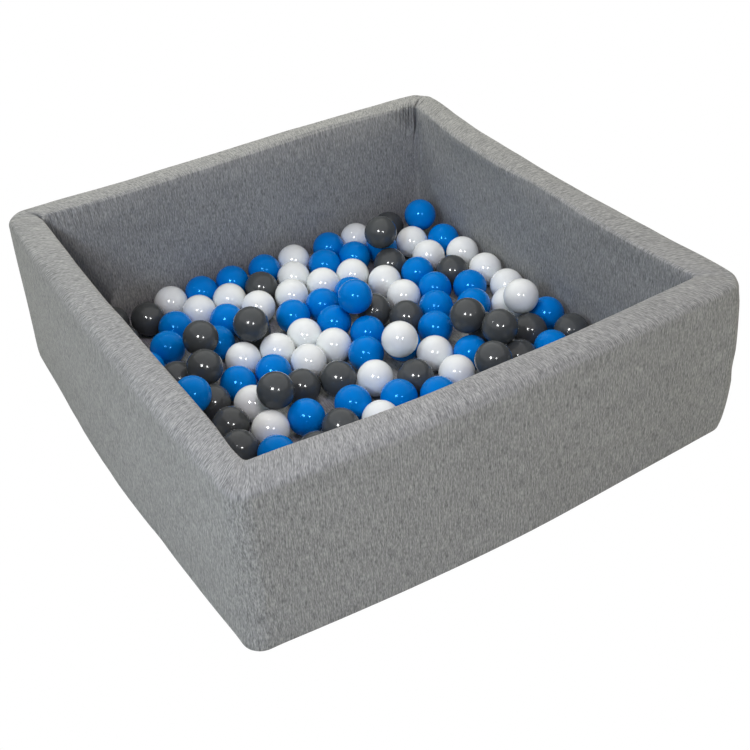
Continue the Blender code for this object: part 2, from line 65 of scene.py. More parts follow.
# %% [markdown]
# ## Sizes
#
# The cover follows the same named sizes as the CAD, so that it lies on the foam with no fitting.
# The bows say how far each wall swells outwards at its foot and at its rim, or inwards where they
# are negative, and the bulges how far the cover is pushed out halfway up the corners where a wall
# starts and ends.

# %% Sizes in metres
PIT_WIDTH = 0.900
PIT_HEIGHT = 0.300
WALL = 0.055
FLOOR_HEIGHT = 0.030
CLOTH = 0.0015
SEAT_GAP = 0.0003
CORNER_RADIUS = 0.030
INNER_CORNER_RADIUS = 0.009
OUTER_RIM_RADIUS = 0.014
INNER_RIM_RADIUS = 0.007
RIM_CROWN = 0.002
FOOT_TUCK = 0.004
HEM_OVERLAP = 0.0006
SEAM_DIP = 0.002
SEAM_REACH = 0.012
BOWS = {
    "back": (0.021, 0.003),
    "left": (0.018, 0.008),
    "front": (0.021, 0.012),
    "right": (0.018, -0.018),
}
BULGES = {"back": (0.0, 0.0), "left": (0.0, 0.0), "front": (0.0, 0.009), "right": (0.009, 0.0)}
BULGE_REACH = 0.090
BALL_RADIUS = 0.0325

# %% [markdown]
# ## Camera
#
# Position, tilt and focal length come from fitting the corners of the pit in the photograph to a
# 90 cm square, 30 cm high. The picture is square, so the shift is a share of its width.


# %% Camera
PICTURE = 750
FOCAL_PIXELS = 1232.3
CENTRE_PIXELS = (360.0, 344.3)
CAMERA_PLACE = (-0.8788, -1.5426, 1.3435)
CAMERA_TURN = (54.84, 0.0, -29.83)
CAMERA_ROLL = -3.01
SENSOR_WIDTH = 36.0


def add_camera():
    data = bpy.data.cameras.new("photo_camera")
    data.sensor_width = SENSOR_WIDTH
    data.lens = FOCAL_PIXELS / PICTURE * data.sensor_width
    data.shift_x = (PICTURE / 2 - CENTRE_PIXELS[0]) / PICTURE
    data.shift_y = (CENTRE_PIXELS[1] - PICTURE / 2) / PICTURE
    camera = place_object("photo_camera", data)
    turn = Matrix.Rotation(math.radians(CAMERA_TURN[2]), 4, "Z")
    turn = turn @ Matrix.Rotation(math.radians(CAMERA_TURN[0]), 4, "X")
    turn = turn @ Matrix.Rotation(math.radians(CAMERA_ROLL), 4, "Z")
    camera.matrix_world = Matrix.Translation(CAMERA_PLACE) @ turn
    bpy.context.scene.camera = camera
    return camera


print("camera lens", round(add_camera().data.lens, 2))

# %% [markdown]
# ## Nodes
#
# One small function adds a node with its inputs. A value that is itself a socket is linked, and
# anything else is typed into the socket. Colours are written as the hex sRGB values that one
# reads off a screen, so another function turns them into the linear values that nodes expect.


# %% Helpers for materials
def linear(hex_colour):
    channels = [int(hex_colour[i:i + 2], 16) / 255 for i in (1, 3, 5)]
    return tuple(c / 12.92 if c <= 0.04045 else ((c + 0.055) / 1.055) ** 2.4 for c in channels)


def colour(hex_colour):
    return (*linear(hex_colour), 1.0)


def add_node(tree, kind, inputs=None, **settings):
    node = tree.nodes.new(kind)
    for name, value in settings.items():
        setattr(node, name, value)
    for name, value in (inputs or {}).items():
        socket = node.inputs[name]
        if isinstance(value, bpy.types.NodeSocket):
            tree.links.new(value, socket)
        else:
            socket.default_value = value
    return node


def new_material(name):
    material = bpy.data.materials.new(name)
    material.use_nodes = True
    tree = material.node_tree
    return material, tree, tree.nodes["Principled BSDF"]


def set_sockets(shader, values):
    for name, value in values.items():
        shader.inputs[name].default_value = value


def vector_math(tree, operation, first, second):
    return add_node(tree, "ShaderNodeVectorMath", {0: first, 1: second}, operation=operation).outputs[0]


def stretched(tree, source, scales):
    """Coordinates scaled by a given amount on each axis, as in stretching a pattern."""
    return vector_math(tree, "MULTIPLY", source, scales)


def noise(tree, vector, scale=1.0, detail=2.0):
    inputs = {"Vector": vector, "Scale": scale, "Detail": detail, "Roughness": 0.5}
    return add_node(tree, "ShaderNodeTexNoise", inputs).outputs["Fac"]


def point_value(tree, name, output="Fac"):
    """An attribute that the mesh carries on its points."""
    return add_node(tree, "ShaderNodeAttribute", attribute_name=name).outputs[output]


def own_place(tree):
    """A point's place in the piece's own coordinates, in metres."""
    return add_node(tree, "ShaderNodeTexCoord").outputs["Object"]


def mapped(tree, value, low, high):
    """A value from 0 to 1 spread between two others."""
    return add_node(tree, "ShaderNodeMapRange", {0: value, 3: low, 4: high}).outputs[0]


def math_node(tree, operation, first, second=0.0):
    return add_node(tree, "ShaderNodeMath", {0: first, 1: second}, operation=operation).outputs[0]


def weighted(tree, *terms):
    """The sum of sockets, each times its weight."""
    total = None
    for socket, weight in terms:
        part = math_node(tree, "MULTIPLY", socket, weight)
        total = part if total is None else math_node(tree, "ADD", total, part)
    return total


def ramp(tree, factor, stops):
    node = add_node(tree, "ShaderNodeValToRGB", {"Fac": factor})
    elements = node.color_ramp.elements
    while len(elements) < len(stops):
        elements.new(0.5)
    for element, (place, tint) in zip(elements, stops):
        element.position = place
        element.color = colour(tint)
    return node.outputs["Color"]


def bump(tree, height, depth=1.0):
    """A bump in metres: the height, times the depth."""
    inputs = {"Height": height, "Distance": depth, "Strength": 1.0}
    return add_node(tree, "ShaderNodeBump", inputs).outputs["Normal"]


def finish_with(tree, shader, tint, normal, rough=None):
    for name, socket in (("Base Color", tint), ("Roughness", rough), ("Normal", normal)):
        if socket is not None:
            tree.links.new(socket, shader.inputs[name])


# %% [markdown]
# ## Melange jersey
#
# The cover is single jersey knitted from yarn spun out of dark and light fibres. Such yarn shows
# as flecks one or two millimetres wide and up to a few centimetres long, which run along the
# wales of the knit. The cover's UV map is in metres, with U round the pit and V over the wall, so
# the flecks run up each wall and across the rim, and fan out at the corners as on the real
# sleeve. Where the cloth turns over a shoulder of the rim it puckers, which one attribute
# switches on. Another paints shade into the knit in folds and in the deep left corner.


# %% Jersey material
FLECK_WIDTH = 0.0011
FLECK_LENGTH = 0.0070
STREAK_WIDTH = 0.0020
STREAK_LENGTH = 0.026
WALE_PITCH = 0.0011
WANDER_REACH = 0.0025
WANDER_SCALE = 60.0
CLOUD_SCALE = 9.0
PUCKER_PITCH = 0.0026
PUCKER_LENGTH = 0.040
FLECK_HEIGHT = 0.00012
STREAK_HEIGHT = 0.00014
RIB_HEIGHT = 0.00002
PUCKER_HEIGHT = 0.00032
# The colour of painted shade in the jersey's folds and its deep left corner.
PAINTED_SHADE_TINT = "#151b22"


def jersey_material(name, dark, middle, light):
    """Knitted cloth: a wandering fleck, a wider streak, the ribs of the knit and puckers."""
    material, tree, shader = new_material(name)
    uv = add_node(tree, "ShaderNodeUVMap", uv_map="cloth").outputs["UV"]
    wander = noise(tree, stretched(tree, uv, (WANDER_SCALE, WANDER_SCALE, 1.0)), detail=1.0)
    wander = math_node(tree, "MULTIPLY", math_node(tree, "SUBTRACT", wander, 0.5), WANDER_REACH)
    offset = add_node(tree, "ShaderNodeCombineXYZ", {"X": wander}).outputs[0]
    bent = vector_math(tree, "ADD", uv, offset)
    fleck = noise(tree, stretched(tree, bent, (1 / FLECK_WIDTH, 1 / FLECK_LENGTH, 1.0)), detail=1.0)
    streak = noise(tree, stretched(tree, bent, (1 / STREAK_WIDTH, 1 / STREAK_LENGTH, 1.0)), detail=1.0)
    cloudy = noise(tree, stretched(tree, uv, (CLOUD_SCALE, CLOUD_SCALE, 1.0)))
    blend = weighted(tree, (fleck, 0.52), (streak, 0.42), (cloudy, 0.06))
    tint = ramp(tree, blend, ((0.36, dark), (0.5, middle), (0.64, light)))
    # Painted shade: the knit's colour is mixed towards dark blue-grey where the attribute marks folds
    # and the left inner corner.
    shaded = {"Fac": point_value(tree, "fold_shade"), "Color1": tint, "Color2": colour(PAINTED_SHADE_TINT)}
    tint = add_node(tree, "ShaderNodeMixRGB", shaded).outputs[0]
    wales = stretched(tree, bent, (math.tau / WALE_PITCH, 1.0, 1.0))
    across = add_node(tree, "ShaderNodeSeparateXYZ", {0: wales}).outputs["X"]
    ribs = math_node(tree, "SINE", across)
    pucker = noise(tree, stretched(tree, uv, (1 / PUCKER_PITCH, 1 / PUCKER_LENGTH, 1.0)), detail=1.0)
    pucker = math_node(tree, "MULTIPLY", pucker, point_value(tree, "shoulder"))
    knit = ((fleck, FLECK_HEIGHT), (streak, STREAK_HEIGHT), (ribs, RIB_HEIGHT))
    height = weighted(tree, *knit, (pucker, PUCKER_HEIGHT))
    set_sockets(shader, {"Roughness": 0.92, "Sheen Weight": 0.12, "Sheen Roughness": 0.5})
    set_sockets(shader, {"Specular IOR Level": 0.2})
    finish_with(tree, shader, tint, bump(tree, height))
    return material


jersey = jersey_material("grey_melange_jersey", "#6c6f70", "#8f9292", "#adb0af")
print("made", jersey.name)

# %% [markdown]
# ## The sleeve
#
# One knitted band is pulled over all four foam walls. The straight way to make it is a loft: a
# profile that runs from the outer foot over the rim and down to the floor inside is carried
# round the pit. At each place the profile is spread between an outer path with wide corners and
# an inner path with tight ones, so both sides stay in step and the knit fans at the corners.


# %% Loft of the walls
FACE_ROWS = 30
RIM_STEPS = 12
# Near the gathered corners the stations lie this close together, over this much of the walls.
GATHER_STEP = 0.0012
GATHERED = 0.085
# Soft pushes that lead the even loft to the uneven foam: middle, reach and move, all in metres.
PUSHES = (
    # The outside of the rim, at the back, on the right and at the two right corners.
    ((0.12, 0.455, 0.295), (0.36, 0.028, 0.06), (0.0, 0.003, 0.0042)),
    ((0.06, 0.455, 0.295), (0.09, 0.028, 0.06), (0.0, 0.0, -0.0014)),
    ((-0.37, 0.452, 0.295), (0.09, 0.030, 0.05), (0.0, 0.001, 0.0022)),
    ((0.455, 0.235, 0.295), (0.03, 0.060, 0.05), (-0.0019, 0.0, -0.0006)),
    ((0.455, -0.02, 0.295), (0.03, 0.090, 0.05), (0.0016, 0.0, 0.0004)),
    ((0.440, -0.27, 0.295), (0.025, 0.15, 0.05), (0.0015, 0.0, 0.0022)),
    ((0.445, 0.445, 0.28), (0.04, 0.04, 0.10), (-0.004, -0.004, -0.001)),
    ((0.458, -0.452, 0.285), (0.02, 0.03, 0.02), (-0.005, 0.003, -0.002)),
    # The foot, on the left, in front and at the two front corners.
    ((-0.463, 0.30, 0.03), (0.05, 0.09, 0.08), (0.0028, 0.0, 0.0)),
    ((-0.468, 0.02, 0.03), (0.05, 0.09, 0.08), (-0.0012, 0.0, 0.0)),
    ((-0.468, -0.16, 0.02), (0.05, 0.07, 0.06), (0.0017, 0.0, 0.0)),
    ((-0.463, -0.26, 0.03), (0.05, 0.09, 0.08), (0.0014, 0.0, 0.0)),
    ((0.25, -0.47, 0.03), (0.18, 0.05, 0.08), (0.0, 0.0052, 0.0)),
    ((-0.450, -0.45, 0.01), (0.03, 0.03, 0.03), (-0.0035, -0.0035, 0.0)),
    ((0.455, -0.455, 0.05), (0.04, 0.04, 0.06), (0.0012, -0.0008, 0.0)),
    # The inside of the rim, in front, on the left, on the right and at the back.
    ((-0.36, -0.395, 0.295), (0.16, 0.025, 0.03), (0.0, 0.0085, 0.001)),
    ((0.27, -0.40, 0.295), (0.20, 0.03, 0.03), (0.0, 0.003, 0.0)),
    ((-0.392, -0.375, 0.295), (0.02, 0.06, 0.03), (-0.0045, 0.0, 0.0)),
    ((-0.402, 0.12, 0.295), (0.03, 0.10, 0.03), (-0.0025, 0.0, 0.0)),
    ((0.385, -0.30, 0.295), (0.03, 0.14, 0.03), (-0.006, 0.0, -0.001)),
    ((0.380, 0.12, 0.295), (0.03, 0.10, 0.03), (-0.005, 0.0, -0.001)),
    ((0.385, 0.27, 0.295), (0.03, 0.10, 0.03), (-0.006, 0.0, -0.001)),
    ((0.20, 0.397, 0.298), (0.16, 0.022, 0.025), (0.0, 0.008, 0.004)),
    ((-0.05, 0.397, 0.298), (0.25, 0.022, 0.025), (0.0, 0.005, 0.002)),
    ((-0.36, 0.395, 0.298), (0.08, 0.022, 0.025), (0.0, 0.003, 0.0)),
    ((-0.382, 0.397, 0.298), (0.030, 0.020, 0.025), (0.0, 0.0055, 0.0010)),
)


def stations_end():
    """How far from the middle of a wall its mitre cuts the outer corner."""
    return PIT_WIDTH / 2 - CORNER_RADIUS * (1 - math.sin(math.radians(45)))


def wall_stations(line_shares, arc_steps):
    """Rows of (outer x, outer depth, inner x, inner depth, share of the length) along a wall."""
    half = PIT_WIDTH / 2
    turn = np.radians(45) * (1 - np.arange(arc_steps) / arc_steps)
    paths = []
    for reach, radius in ((half, CORNER_RADIUS), (half - WALL, INNER_CORNER_RADIUS)):
        arc_x = radius * (1 - np.sin(turn)) - reach
        arc_in = radius * (1 - np.cos(turn))
        line = (2 * np.asarray(line_shares) - 1) * (reach - radius)
        paths.append(np.concatenate((arc_x, line, -arc_x[::-1])))
        paths.append(np.concatenate((arc_in, 0 * line, arc_in[::-1])))
    end = stations_end()
    return np.stack((*paths, (paths[0] + end) / (2 * end)), axis=1)


def pushed(points):
    """Points moved by every push, each of which fades with the distance from its middle."""
    moved = points.copy()
    for centre, reach, move in PUSHES:
        fade = np.exp(-(((points - centre) / reach) ** 2).sum(axis=-1, keepdims=True))
        moved += fade * move
    return moved


def wall_grid(quarter, side, stations, profile):
    """The points of one wall as an array [station, profile point, xyz]."""
    outer_x, outer_in, inner_x, inner_in, share = (column[:, None] for column in stations.T)
    depth, z = profile.T
    across = depth / WALL
    height = z / PIT_HEIGHT
    inwards = outer_in + (WALL + inner_in - outer_in) * across
    foot_bow, rim_bow = BOWS[side]
    bow = 4 * share * (1 - share) * (foot_bow + (rim_bow - foot_bow) * height)
    from_end = stations_end() - np.abs(outer_x)
    bulge = np.where(share < 0.5, *BULGES[side]) * np.clip(1 - from_end / BULGE_REACH, 0, None) ** 2
    bulge = bulge * (1 - across) * np.sin(np.pi * height**0.7) / math.sqrt(2)
    x = outer_x + (inner_x - outer_x) * across - np.where(share < 0.5, 1, -1) * bulge
    y = PIT_WIDTH / 2 - inwards + bow + bulge
    z = z - SEAM_DIP * np.exp(-((from_end / SEAM_REACH) ** 2)) * height
    turn = math.radians(90) * quarter
    cos, sin = math.cos(turn), math.sin(turn)
    return pushed(np.stack((-x * cos - y * sin, -x * sin + y * cos, z), axis=2))


def quarter_arc(centre, height, radius, start, end, steps):
    turn = np.radians(np.linspace(start, end, steps + 1))
    return np.stack((centre + radius * np.cos(turn), height + radius * np.sin(turn)), axis=1)


def sleeve_profile(rows, steps):
    """(depth, height) points from the tucked outer foot over the rim to the floor inside."""
    foot = CLOTH + SEAT_GAP
    floor = FLOOR_HEIGHT - HEM_OVERLAP
    shoulder = PIT_HEIGHT - RIM_CROWN
    tuck = quarter_arc(FOOT_TUCK, foot + FOOT_TUCK, FOOT_TUCK, 270, 180, max(2, steps // 2))
    outer_height = shoulder - OUTER_RIM_RADIUS
    inner_height = shoulder - INNER_RIM_RADIUS
    outer = quarter_arc(OUTER_RIM_RADIUS, outer_height, OUTER_RIM_RADIUS, 180, 90, steps)
    inner = quarter_arc(WALL - INNER_RIM_RADIUS, inner_height, INNER_RIM_RADIUS, 90, 0, steps)
    up = np.linspace(tuck[-1, 1], outer_height, rows + 1)[1:-1]
    down = np.linspace(inner_height, floor, rows + 1)[1:]
    along = np.linspace(0.0, 1.0, steps + 1)[1:-1]
    flat = OUTER_RIM_RADIUS + (WALL - OUTER_RIM_RADIUS - INNER_RIM_RADIUS) * along
    top = np.stack((flat, shoulder + RIM_CROWN * 4 * along * (1 - along)), axis=1)
    face = np.stack((0 * up, up), axis=1)
    lining = np.stack((WALL + 0 * down, down), axis=1)
    return np.concatenate((tuck, face, outer, top, inner, lining))


def length_along(points):
    """How far along a row of points each one is."""
    steps = np.linalg.norm(np.diff(points, axis=0), axis=1)
    return np.concatenate(([0.0], np.cumsum(steps)))


def band_grid(columns, arc_steps, rows, steps, gathered=0.0):
    """All four walls as one closed band: its points, and the lengths round it and over it.

    The stations lie close together within the gathered distance of the far and left corners.
    """
    profile = sleeve_profile(rows, steps)
    even = np.linspace(0.0, 1.0, columns + 1)
    close = np.arange(0.0, gathered, GATHER_STEP) / (PIT_WIDTH - 2 * WALL)
    walls = []
    for quarter, side in enumerate(BOWS):
        near = {"back": (close, 1 - close), "right": (1 - close,), "left": (close,)}.get(side, ())
        shares = np.unique(np.round(np.concatenate((even, *near)), 6))
        walls.append(wall_grid(quarter, side, wall_stations(shares, arc_steps), profile)[:-1])
    grid = np.concatenate(walls)
    middle = grid[:, len(profile) // 2]
    return grid, length_along(np.concatenate((middle, middle[:1]))), length_along(profile)


def grid_normals(grid):
    """The outward direction at each point of a closed band."""
    along = np.roll(grid, -1, axis=0) - np.roll(grid, 1, axis=0)
    normals = np.cross(along, np.gradient(grid, axis=1))
    return normals / np.linalg.norm(normals, axis=2, keepdims=True)


grid, along, up = band_grid(84, arc_steps=14, rows=FACE_ROWS, steps=RIM_STEPS, gathered=GATHERED)
print("loft of", grid.shape[0], "stations by", grid.shape[1], "rows,", round(along[-1], 2), "m round")

# %% [markdown]
# ## Swell of the cloth
#
# A knitted cover never lies dead flat on foam. A coarse copy of the sleeve is cut one part in a
# hundred too large and left to settle under a little inner pressure, while weak springs hold it
# to the foam and its two hems stay put. How far each of its points has moved is then read off
# and spread over the fine loft, so the fine sleeve swells and sinks in the same places without a
# slow simulation. The moves are cut to a limit, since the real foam behind holds the cloth
# flatter than the weak springs do.


# %% Cloth simulation
SWELL_LIMIT = 0.0018
SIMULATION_FRAMES = 16
OVERSIZE = 0.010
FOAM_HOLD = 0.12


def surface(name, points, material, uv=None, closed=False):
    """An object of quads over a grid of points [row, column, xyz], with a UV map in metres."""
    rows, columns = points.shape[:2]
    index = np.arange(rows * columns).reshape(rows, columns)
    if closed:
        index = np.concatenate((index, index[:1]))
    corners = np.stack((index[:-1, :-1], index[1:, :-1], index[1:, 1:], index[:-1, 1:]), axis=-1)
    mesh = bpy.data.meshes.new(name)
    mesh.from_pydata(points.reshape(-1, 3).tolist(), [], corners.reshape(-1, 4).tolist())
    if uv is not None:
        corners = np.stack((uv[:-1, :-1], uv[1:, :-1], uv[1:, 1:], uv[:-1, 1:]), axis=-2)
        mesh.uv_layers.new(name="cloth").data.foreach_set("uv", corners.astype(np.float32).ravel())
    mesh.shade_smooth()
    if material:
        mesh.materials.append(material)
    return place_object(name, mesh)


def settle(trial):
    """Runs cloth physics on an object and returns its corners afterwards."""
    cloth = trial.modifiers.new("cloth", "CLOTH")
    settings = cloth.settings
    settings.quality = 6
    settings.mass = 0.2
    settings.tension_stiffness = 12
    settings.compression_stiffness = 12
    settings.shear_stiffness = 4
    settings.bending_stiffness = 0.4
    settings.shrink_min = -OVERSIZE
    settings.use_pressure = True
    settings.uniform_pressure_force = 0.6
    settings.vertex_group_mass = "held"
    settings.pin_stiffness = 1.0
    settings.effector_weights.gravity = 0.0
    cloth.collision_settings.use_collision = False
    scene = bpy.context.scene
    for number in range(1, SIMULATION_FRAMES + 1):
        scene.frame_set(number)
    graph = bpy.context.evaluated_depsgraph_get()
    settled = trial.evaluated_get(graph).to_mesh()
    corners = np.empty(len(settled.vertices) * 3, np.float32)
    settled.vertices.foreach_get("co", corners)
    scene.frame_set(1)
    return corners.reshape(-1, 3).astype(float)


def simulated_swell():
    """How far each point of a coarse sleeve moves outwards, with the lengths round and over it."""
    coarse, round_it, over_it = band_grid(columns=26, arc_steps=2, rows=9, steps=3)
    trial = surface("sleeve_trial", coarse, None, closed=True)
    held = trial.vertex_groups.new(name="held")
    columns = coarse.shape[1]
    for i in range(coarse.shape[0]):
        for k in range(columns):
            hem = k in (0, 1, columns - 1)
            held.add([i * columns + k], 1.0 if hem else FOAM_HOLD, "REPLACE")
    moved = settle(trial).reshape(coarse.shape) - coarse
    bpy.data.objects.remove(trial)
    outwards = (moved * grid_normals(coarse)).sum(axis=2)
    print("cloth moved", np.round(1000 * np.percentile(outwards, (1, 50, 99)), 2), "mm")
    return np.clip(outwards, -SWELL_LIMIT, SWELL_LIMIT), round_it, over_it


def spread(coarse, round_from, over_from, round_to, over_to):
    """Values on a coarse band read off at the places of a finer one."""
    coarse = np.concatenate((coarse, coarse[:1]))
    places, known = over_to / over_to[-1], over_from / over_from[-1]
    over = np.stack([np.interp(places, known, row) for row in coarse])
    places, known = round_to / round_to[-1], round_from / round_from[-1]
    return np.stack([np.interp(places, known, column) for column in over.T], axis=1)[:-1]


swell = simulated_swell()

# %% [markdown]
# ## Waves and gathers
#
# Slow waves are a fixed sum of sines. Gathers are drawn as short paths on the cloth near the far
# and the left inner corner, where the photograph shows the sleeve bunched: every point near a
# path sinks by an amount that fades with its distance, like a fingertip drawn over soft foam. A
# fold is too narrow for the mesh to hold all its shade, so each path also paints shade into the
# knit's colour along it, which the material reads from an attribute. The left inner corner gets
# painted shade in the same way, in a wedge that widens towards the floor.


# %% Folds given as paths
FAR_CREASE = (
    (0.4230, 0.4240, 0.300), (0.4151, 0.4186, 0.300), (0.4060, 0.4100, 0.300),
    (0.3960, 0.4005, 0.299), (0.3890, 0.3960, 0.290), (0.3880, 0.3950, 0.282),
)
FAR_CORE = (
    (0.3870, 0.395, 0.290), (0.3885, 0.395, 0.278), (0.3896, 0.395, 0.266),
    (0.3890, 0.395, 0.250), (0.3878, 0.395, 0.242), (0.3850, 0.395, 0.225),
)
FAR_BRANCH = (
    (0.4225, 0.4104, 0.300), (0.4117, 0.4027, 0.300), (0.4023, 0.3977, 0.300),
    (0.3930, 0.3958, 0.298),
)
FAR_TAIL = ((0.3860, 0.395, 0.238), (0.3845, 0.395, 0.215), (0.3835, 0.395, 0.170))
FAR_RIDGE = ((0.395, 0.391, 0.265), (0.395, 0.386, 0.250), (0.395, 0.383, 0.225), (0.395, 0.383, 0.160))
LEFT_CREASE = (
    (-0.4120, 0.4310, 0.300), (-0.4065, 0.4207, 0.300), (-0.4005, 0.4117, 0.300),
    (-0.3967, 0.4025, 0.298), (-0.3945, 0.3960, 0.294), (-0.3935, 0.3900, 0.285),
    (-0.3940, 0.3880, 0.260), (-0.3940, 0.3880, 0.220),
)
# Places from the rim down, width, depth and painted shade. A raised ridge has a negative depth.
GATHERS = (
    (FAR_CREASE, 0.0016, 0.0040, 0.40),
    (FAR_CORE, 0.0015, 0.0050, 0.78),
    (FAR_BRANCH, 0.0016, 0.0030, 0.40),
    (FAR_TAIL, 0.0020, 0.0014, 0.12),
    (FAR_RIDGE, 0.0040, -0.0024, 0.0),
    (LEFT_CREASE, 0.0015, 0.0050, 0.92),
)
# Folds beside the far crease, on the back wall: X, lowest height and depth.
FAR_FOLDS = (
    (0.3824, 0.252, 0.0036),
    (0.3765, 0.260, 0.0044),
    (0.3698, 0.248, 0.0034),
    (0.3642, 0.264, 0.0038),
    (0.3568, 0.256, 0.0024),
    (0.3480, 0.268, 0.0016),
)
# Width of each fold beside the far crease, and its painted shade per metre of depth.
FAR_FOLD_WIDTH = 0.0017
FAR_FOLD_SHADE = 185.0
# Fainter folds on the right wall and on the back wall's left end: width, depth and painted shade.
RIGHT_FOLD = (0.0020, 0.0016, 0.15)
RIGHT_FOLDS = 4
RIGHT_FOLD_START = 0.345
RIGHT_FOLD_PITCH = 0.013
LEFT_FOLD = (0.0020, 0.0021, 0.20)
LEFT_FOLD_PLACES = (-0.383, -0.371, -0.359, -0.346, -0.331, -0.314, -0.296)


def gather_paths():
    """(places, width, depth, painted shade) of every gather."""
    found = list(GATHERS)
    for x, foot, depth in FAR_FOLDS:
        fold = [(x + 0.008, 0.412, 0.300), (x + 0.002, 0.398, 0.297), (x, 0.395, 0.285)]
        fold.append((x - 0.003, 0.395, foot))
        found.append((fold, FAR_FOLD_WIDTH, depth, FAR_FOLD_SHADE * depth))
    for number in range(RIGHT_FOLDS):
        y = RIGHT_FOLD_START - RIGHT_FOLD_PITCH * number
        fold = [(0.402, y + 0.006, 0.299), (0.396, y, 0.290), (0.395, y - 0.004, 0.262)]
        found.append((fold, *RIGHT_FOLD))
    for number, x in enumerate(LEFT_FOLD_PLACES):
        foot = 0.262 - 0.008 * (number % 2)
        fold = [(x - 0.004, 0.404, 0.299), (x, 0.397, 0.292), (x + 0.003, 0.396, foot)]
        found.append((fold, *LEFT_FOLD))
    return found


print(len(gather_paths()), "gathers")


# %% Waves and gathers
WAVE_LENGTHS = (0.07, 0.40)
WAVE_STEEPNESS = 0.0011
DEEPEST_GATHER = 0.0062
HEM_REACH = 0.020
# The left corner's painted shade: its top and its edge from the pit's middle, how fast it widens
# below, how softly it ends near the rim and how much more softly further down, and how dark it is.
SHADE_TOP = 0.296
SHADE_EDGE = 0.393
SHADE_RIM = 0.402
SHADE_SPREAD = 0.375
SHADE_BLUR = 0.002
SHADE_BLUR_GROWTH = 0.034
SHADE_DEPTH = 0.10
SHADE_STRENGTH = 0.60


def slow_waves(points):
    """Low swells in metres at each point."""
    chance = np.random.default_rng(5)
    total = np.zeros(points.shape[:-1])
    for length in np.geomspace(*WAVE_LENGTHS, 12):
        way = chance.normal(size=3)
        way /= np.linalg.norm(way)
        phase = chance.uniform(0, math.tau)
        total += length * np.sin(points @ way * math.tau / length + phase)
    return total * WAVE_STEEPNESS


def path_distance(points, path):
    """Distance from each point to a path of straight pieces, and how far along the path it is."""
    best = np.full(points.shape[:-1], np.inf)
    place = np.zeros(points.shape[:-1])
    lengths = length_along(path)
    for start, end, done in zip(path, path[1:], lengths):
        step = end - start
        reach = np.linalg.norm(step)
        share = np.clip(((points - start) @ step) / reach**2, 0.0, 1.0)
        apart = np.linalg.norm(points - (start + share[..., None] * step), axis=-1)
        closer = apart < best
        best = np.where(closer, apart, best)
        place = np.where(closer, (done + share * reach) / lengths[-1], place)
    return best, place


def snapped(path, points):
    """A path, with places between its own, on the nearest of the given points, none twice running."""
    path = np.array(path)
    steps = np.linspace(0, len(path) - 1, 6 * len(path))
    path = np.stack([np.interp(steps, np.arange(len(path)), column) for column in path.T], axis=1)
    flat = points.reshape(-1, 3)
    path = np.array([flat[np.argmin(((flat - place) ** 2).sum(axis=1))] for place in path])
    moves = np.linalg.norm(np.diff(path, axis=0), axis=1) > 0.000001
    return path[np.concatenate(([True], moves))]


def painted_corner_shade(points):
    """Deep painted shade in the left inner corner, which widens from the rim down to the floor."""
    x, y, z = np.moveaxis(points, -1, 0)
    below = np.clip(SHADE_TOP - z, 0.0, None)
    from_corner = np.maximum(x + SHADE_EDGE, SHADE_EDGE - y)
    beyond = np.clip(from_corner - SHADE_SPREAD * below, 0.0, None)
    blur = SHADE_BLUR + SHADE_BLUR_GROWTH * (1 - np.exp(-below / SHADE_DEPTH))
    inside = (x > -SHADE_RIM) & (y < SHADE_RIM)
    depth = SHADE_STRENGTH * (1 + below) * np.clip(below / 0.010, 0, 1)
    return inside * depth * np.exp(-((beyond / blur) ** 2))


def gathers(points):
    """How far each point sinks, in metres, and how much shade is painted into its colour, from 0 to 1.
    """
    sunk, shade = np.zeros(points.shape[:-1]), painted_corner_shade(points)
    for path, width, depth, dark in gather_paths():
        apart, place = path_distance(points, snapped(path, points))
        along_it = np.sin(np.pi * np.clip(place, 0.04, 0.96)) ** 0.6
        trace = along_it * np.exp(-((apart / width) ** 2))
        sunk += depth * trace
        shade = np.maximum(shade, dark * trace)
    return np.minimum(sunk, DEEPEST_GATHER), shade


def cloth_offset(points, round_it, over_it, sunk=0.0):
    """How far the cloth stands out from the loft at each point of a band."""
    offset = slow_waves(points) - sunk
    if swell is not None:
        offset += spread(*swell, round_it, over_it)
    hem = np.minimum(over_it, over_it[-1] - over_it)
    return offset * np.clip(hem / HEM_REACH, 0.0, 1.0)


sunk, shade = gathers(grid)
offset = cloth_offset(grid, along, up, sunk)
sleeve_grid = grid + offset[..., None] * grid_normals(grid)
print("cloth offset", np.round(1000 * np.percentile(offset, (0, 5, 50, 95, 100)), 2), "mm")


# %% Sleeve
OUTER_SHOULDER = 0.006
INNER_SHOULDER = WALL - 0.005
SHOULDER_REACH = 0.011


def shoulders():
    """For each row of the sleeve, close to 1 on the rim's two shoulders and 0 away from them."""
    depth, height = sleeve_profile(FACE_ROWS, RIM_STEPS).T
    low = height < PIT_HEIGHT / 2
    turns = [up[np.argmin(np.abs(depth - place) + low)] for place in (OUTER_SHOULDER, INNER_SHOULDER)]
    return np.max([np.exp(-(((up - turn) / SHOULDER_REACH) ** 2)) for turn in turns], axis=0)


def keep_on_points(mesh, name, values):
    mesh.attributes.new(name, "FLOAT", "POINT").data.foreach_set("value", values.astype(np.float32))


uv = np.stack(np.meshgrid(along, up, indexing="ij"), axis=2)
sleeve = surface("sleeve", sleeve_grid, jersey, uv=uv, closed=True)
keep_on_points(sleeve.data, "shoulder", np.tile(shoulders(), len(grid)))
# Painted shade of the folds and the left inner corner, which the jersey mixes into its colour.
keep_on_points(sleeve.data, "fold_shade", shade.ravel())
print("sleeve of", len(sleeve.data.polygons), "faces")

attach(sleeve, "pit")
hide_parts("cover_sleeve")

# %% [markdown]
# ## Foam inside the cover
#
# The cover can come off, so the foam under it is real too: four blocks cut at forty-five degrees
# at their ends, and a mat between them. The blocks are read off a coarser loft, moved in by the
# thickness of the cloth, with the same swell, and pressed in further where the cover is gathered.
# The mat keeps its CAD form with rounded edges.


# %% Foam material
CELLS_PER_METRE = 1500.0
CELL_DEPTH = 0.0006


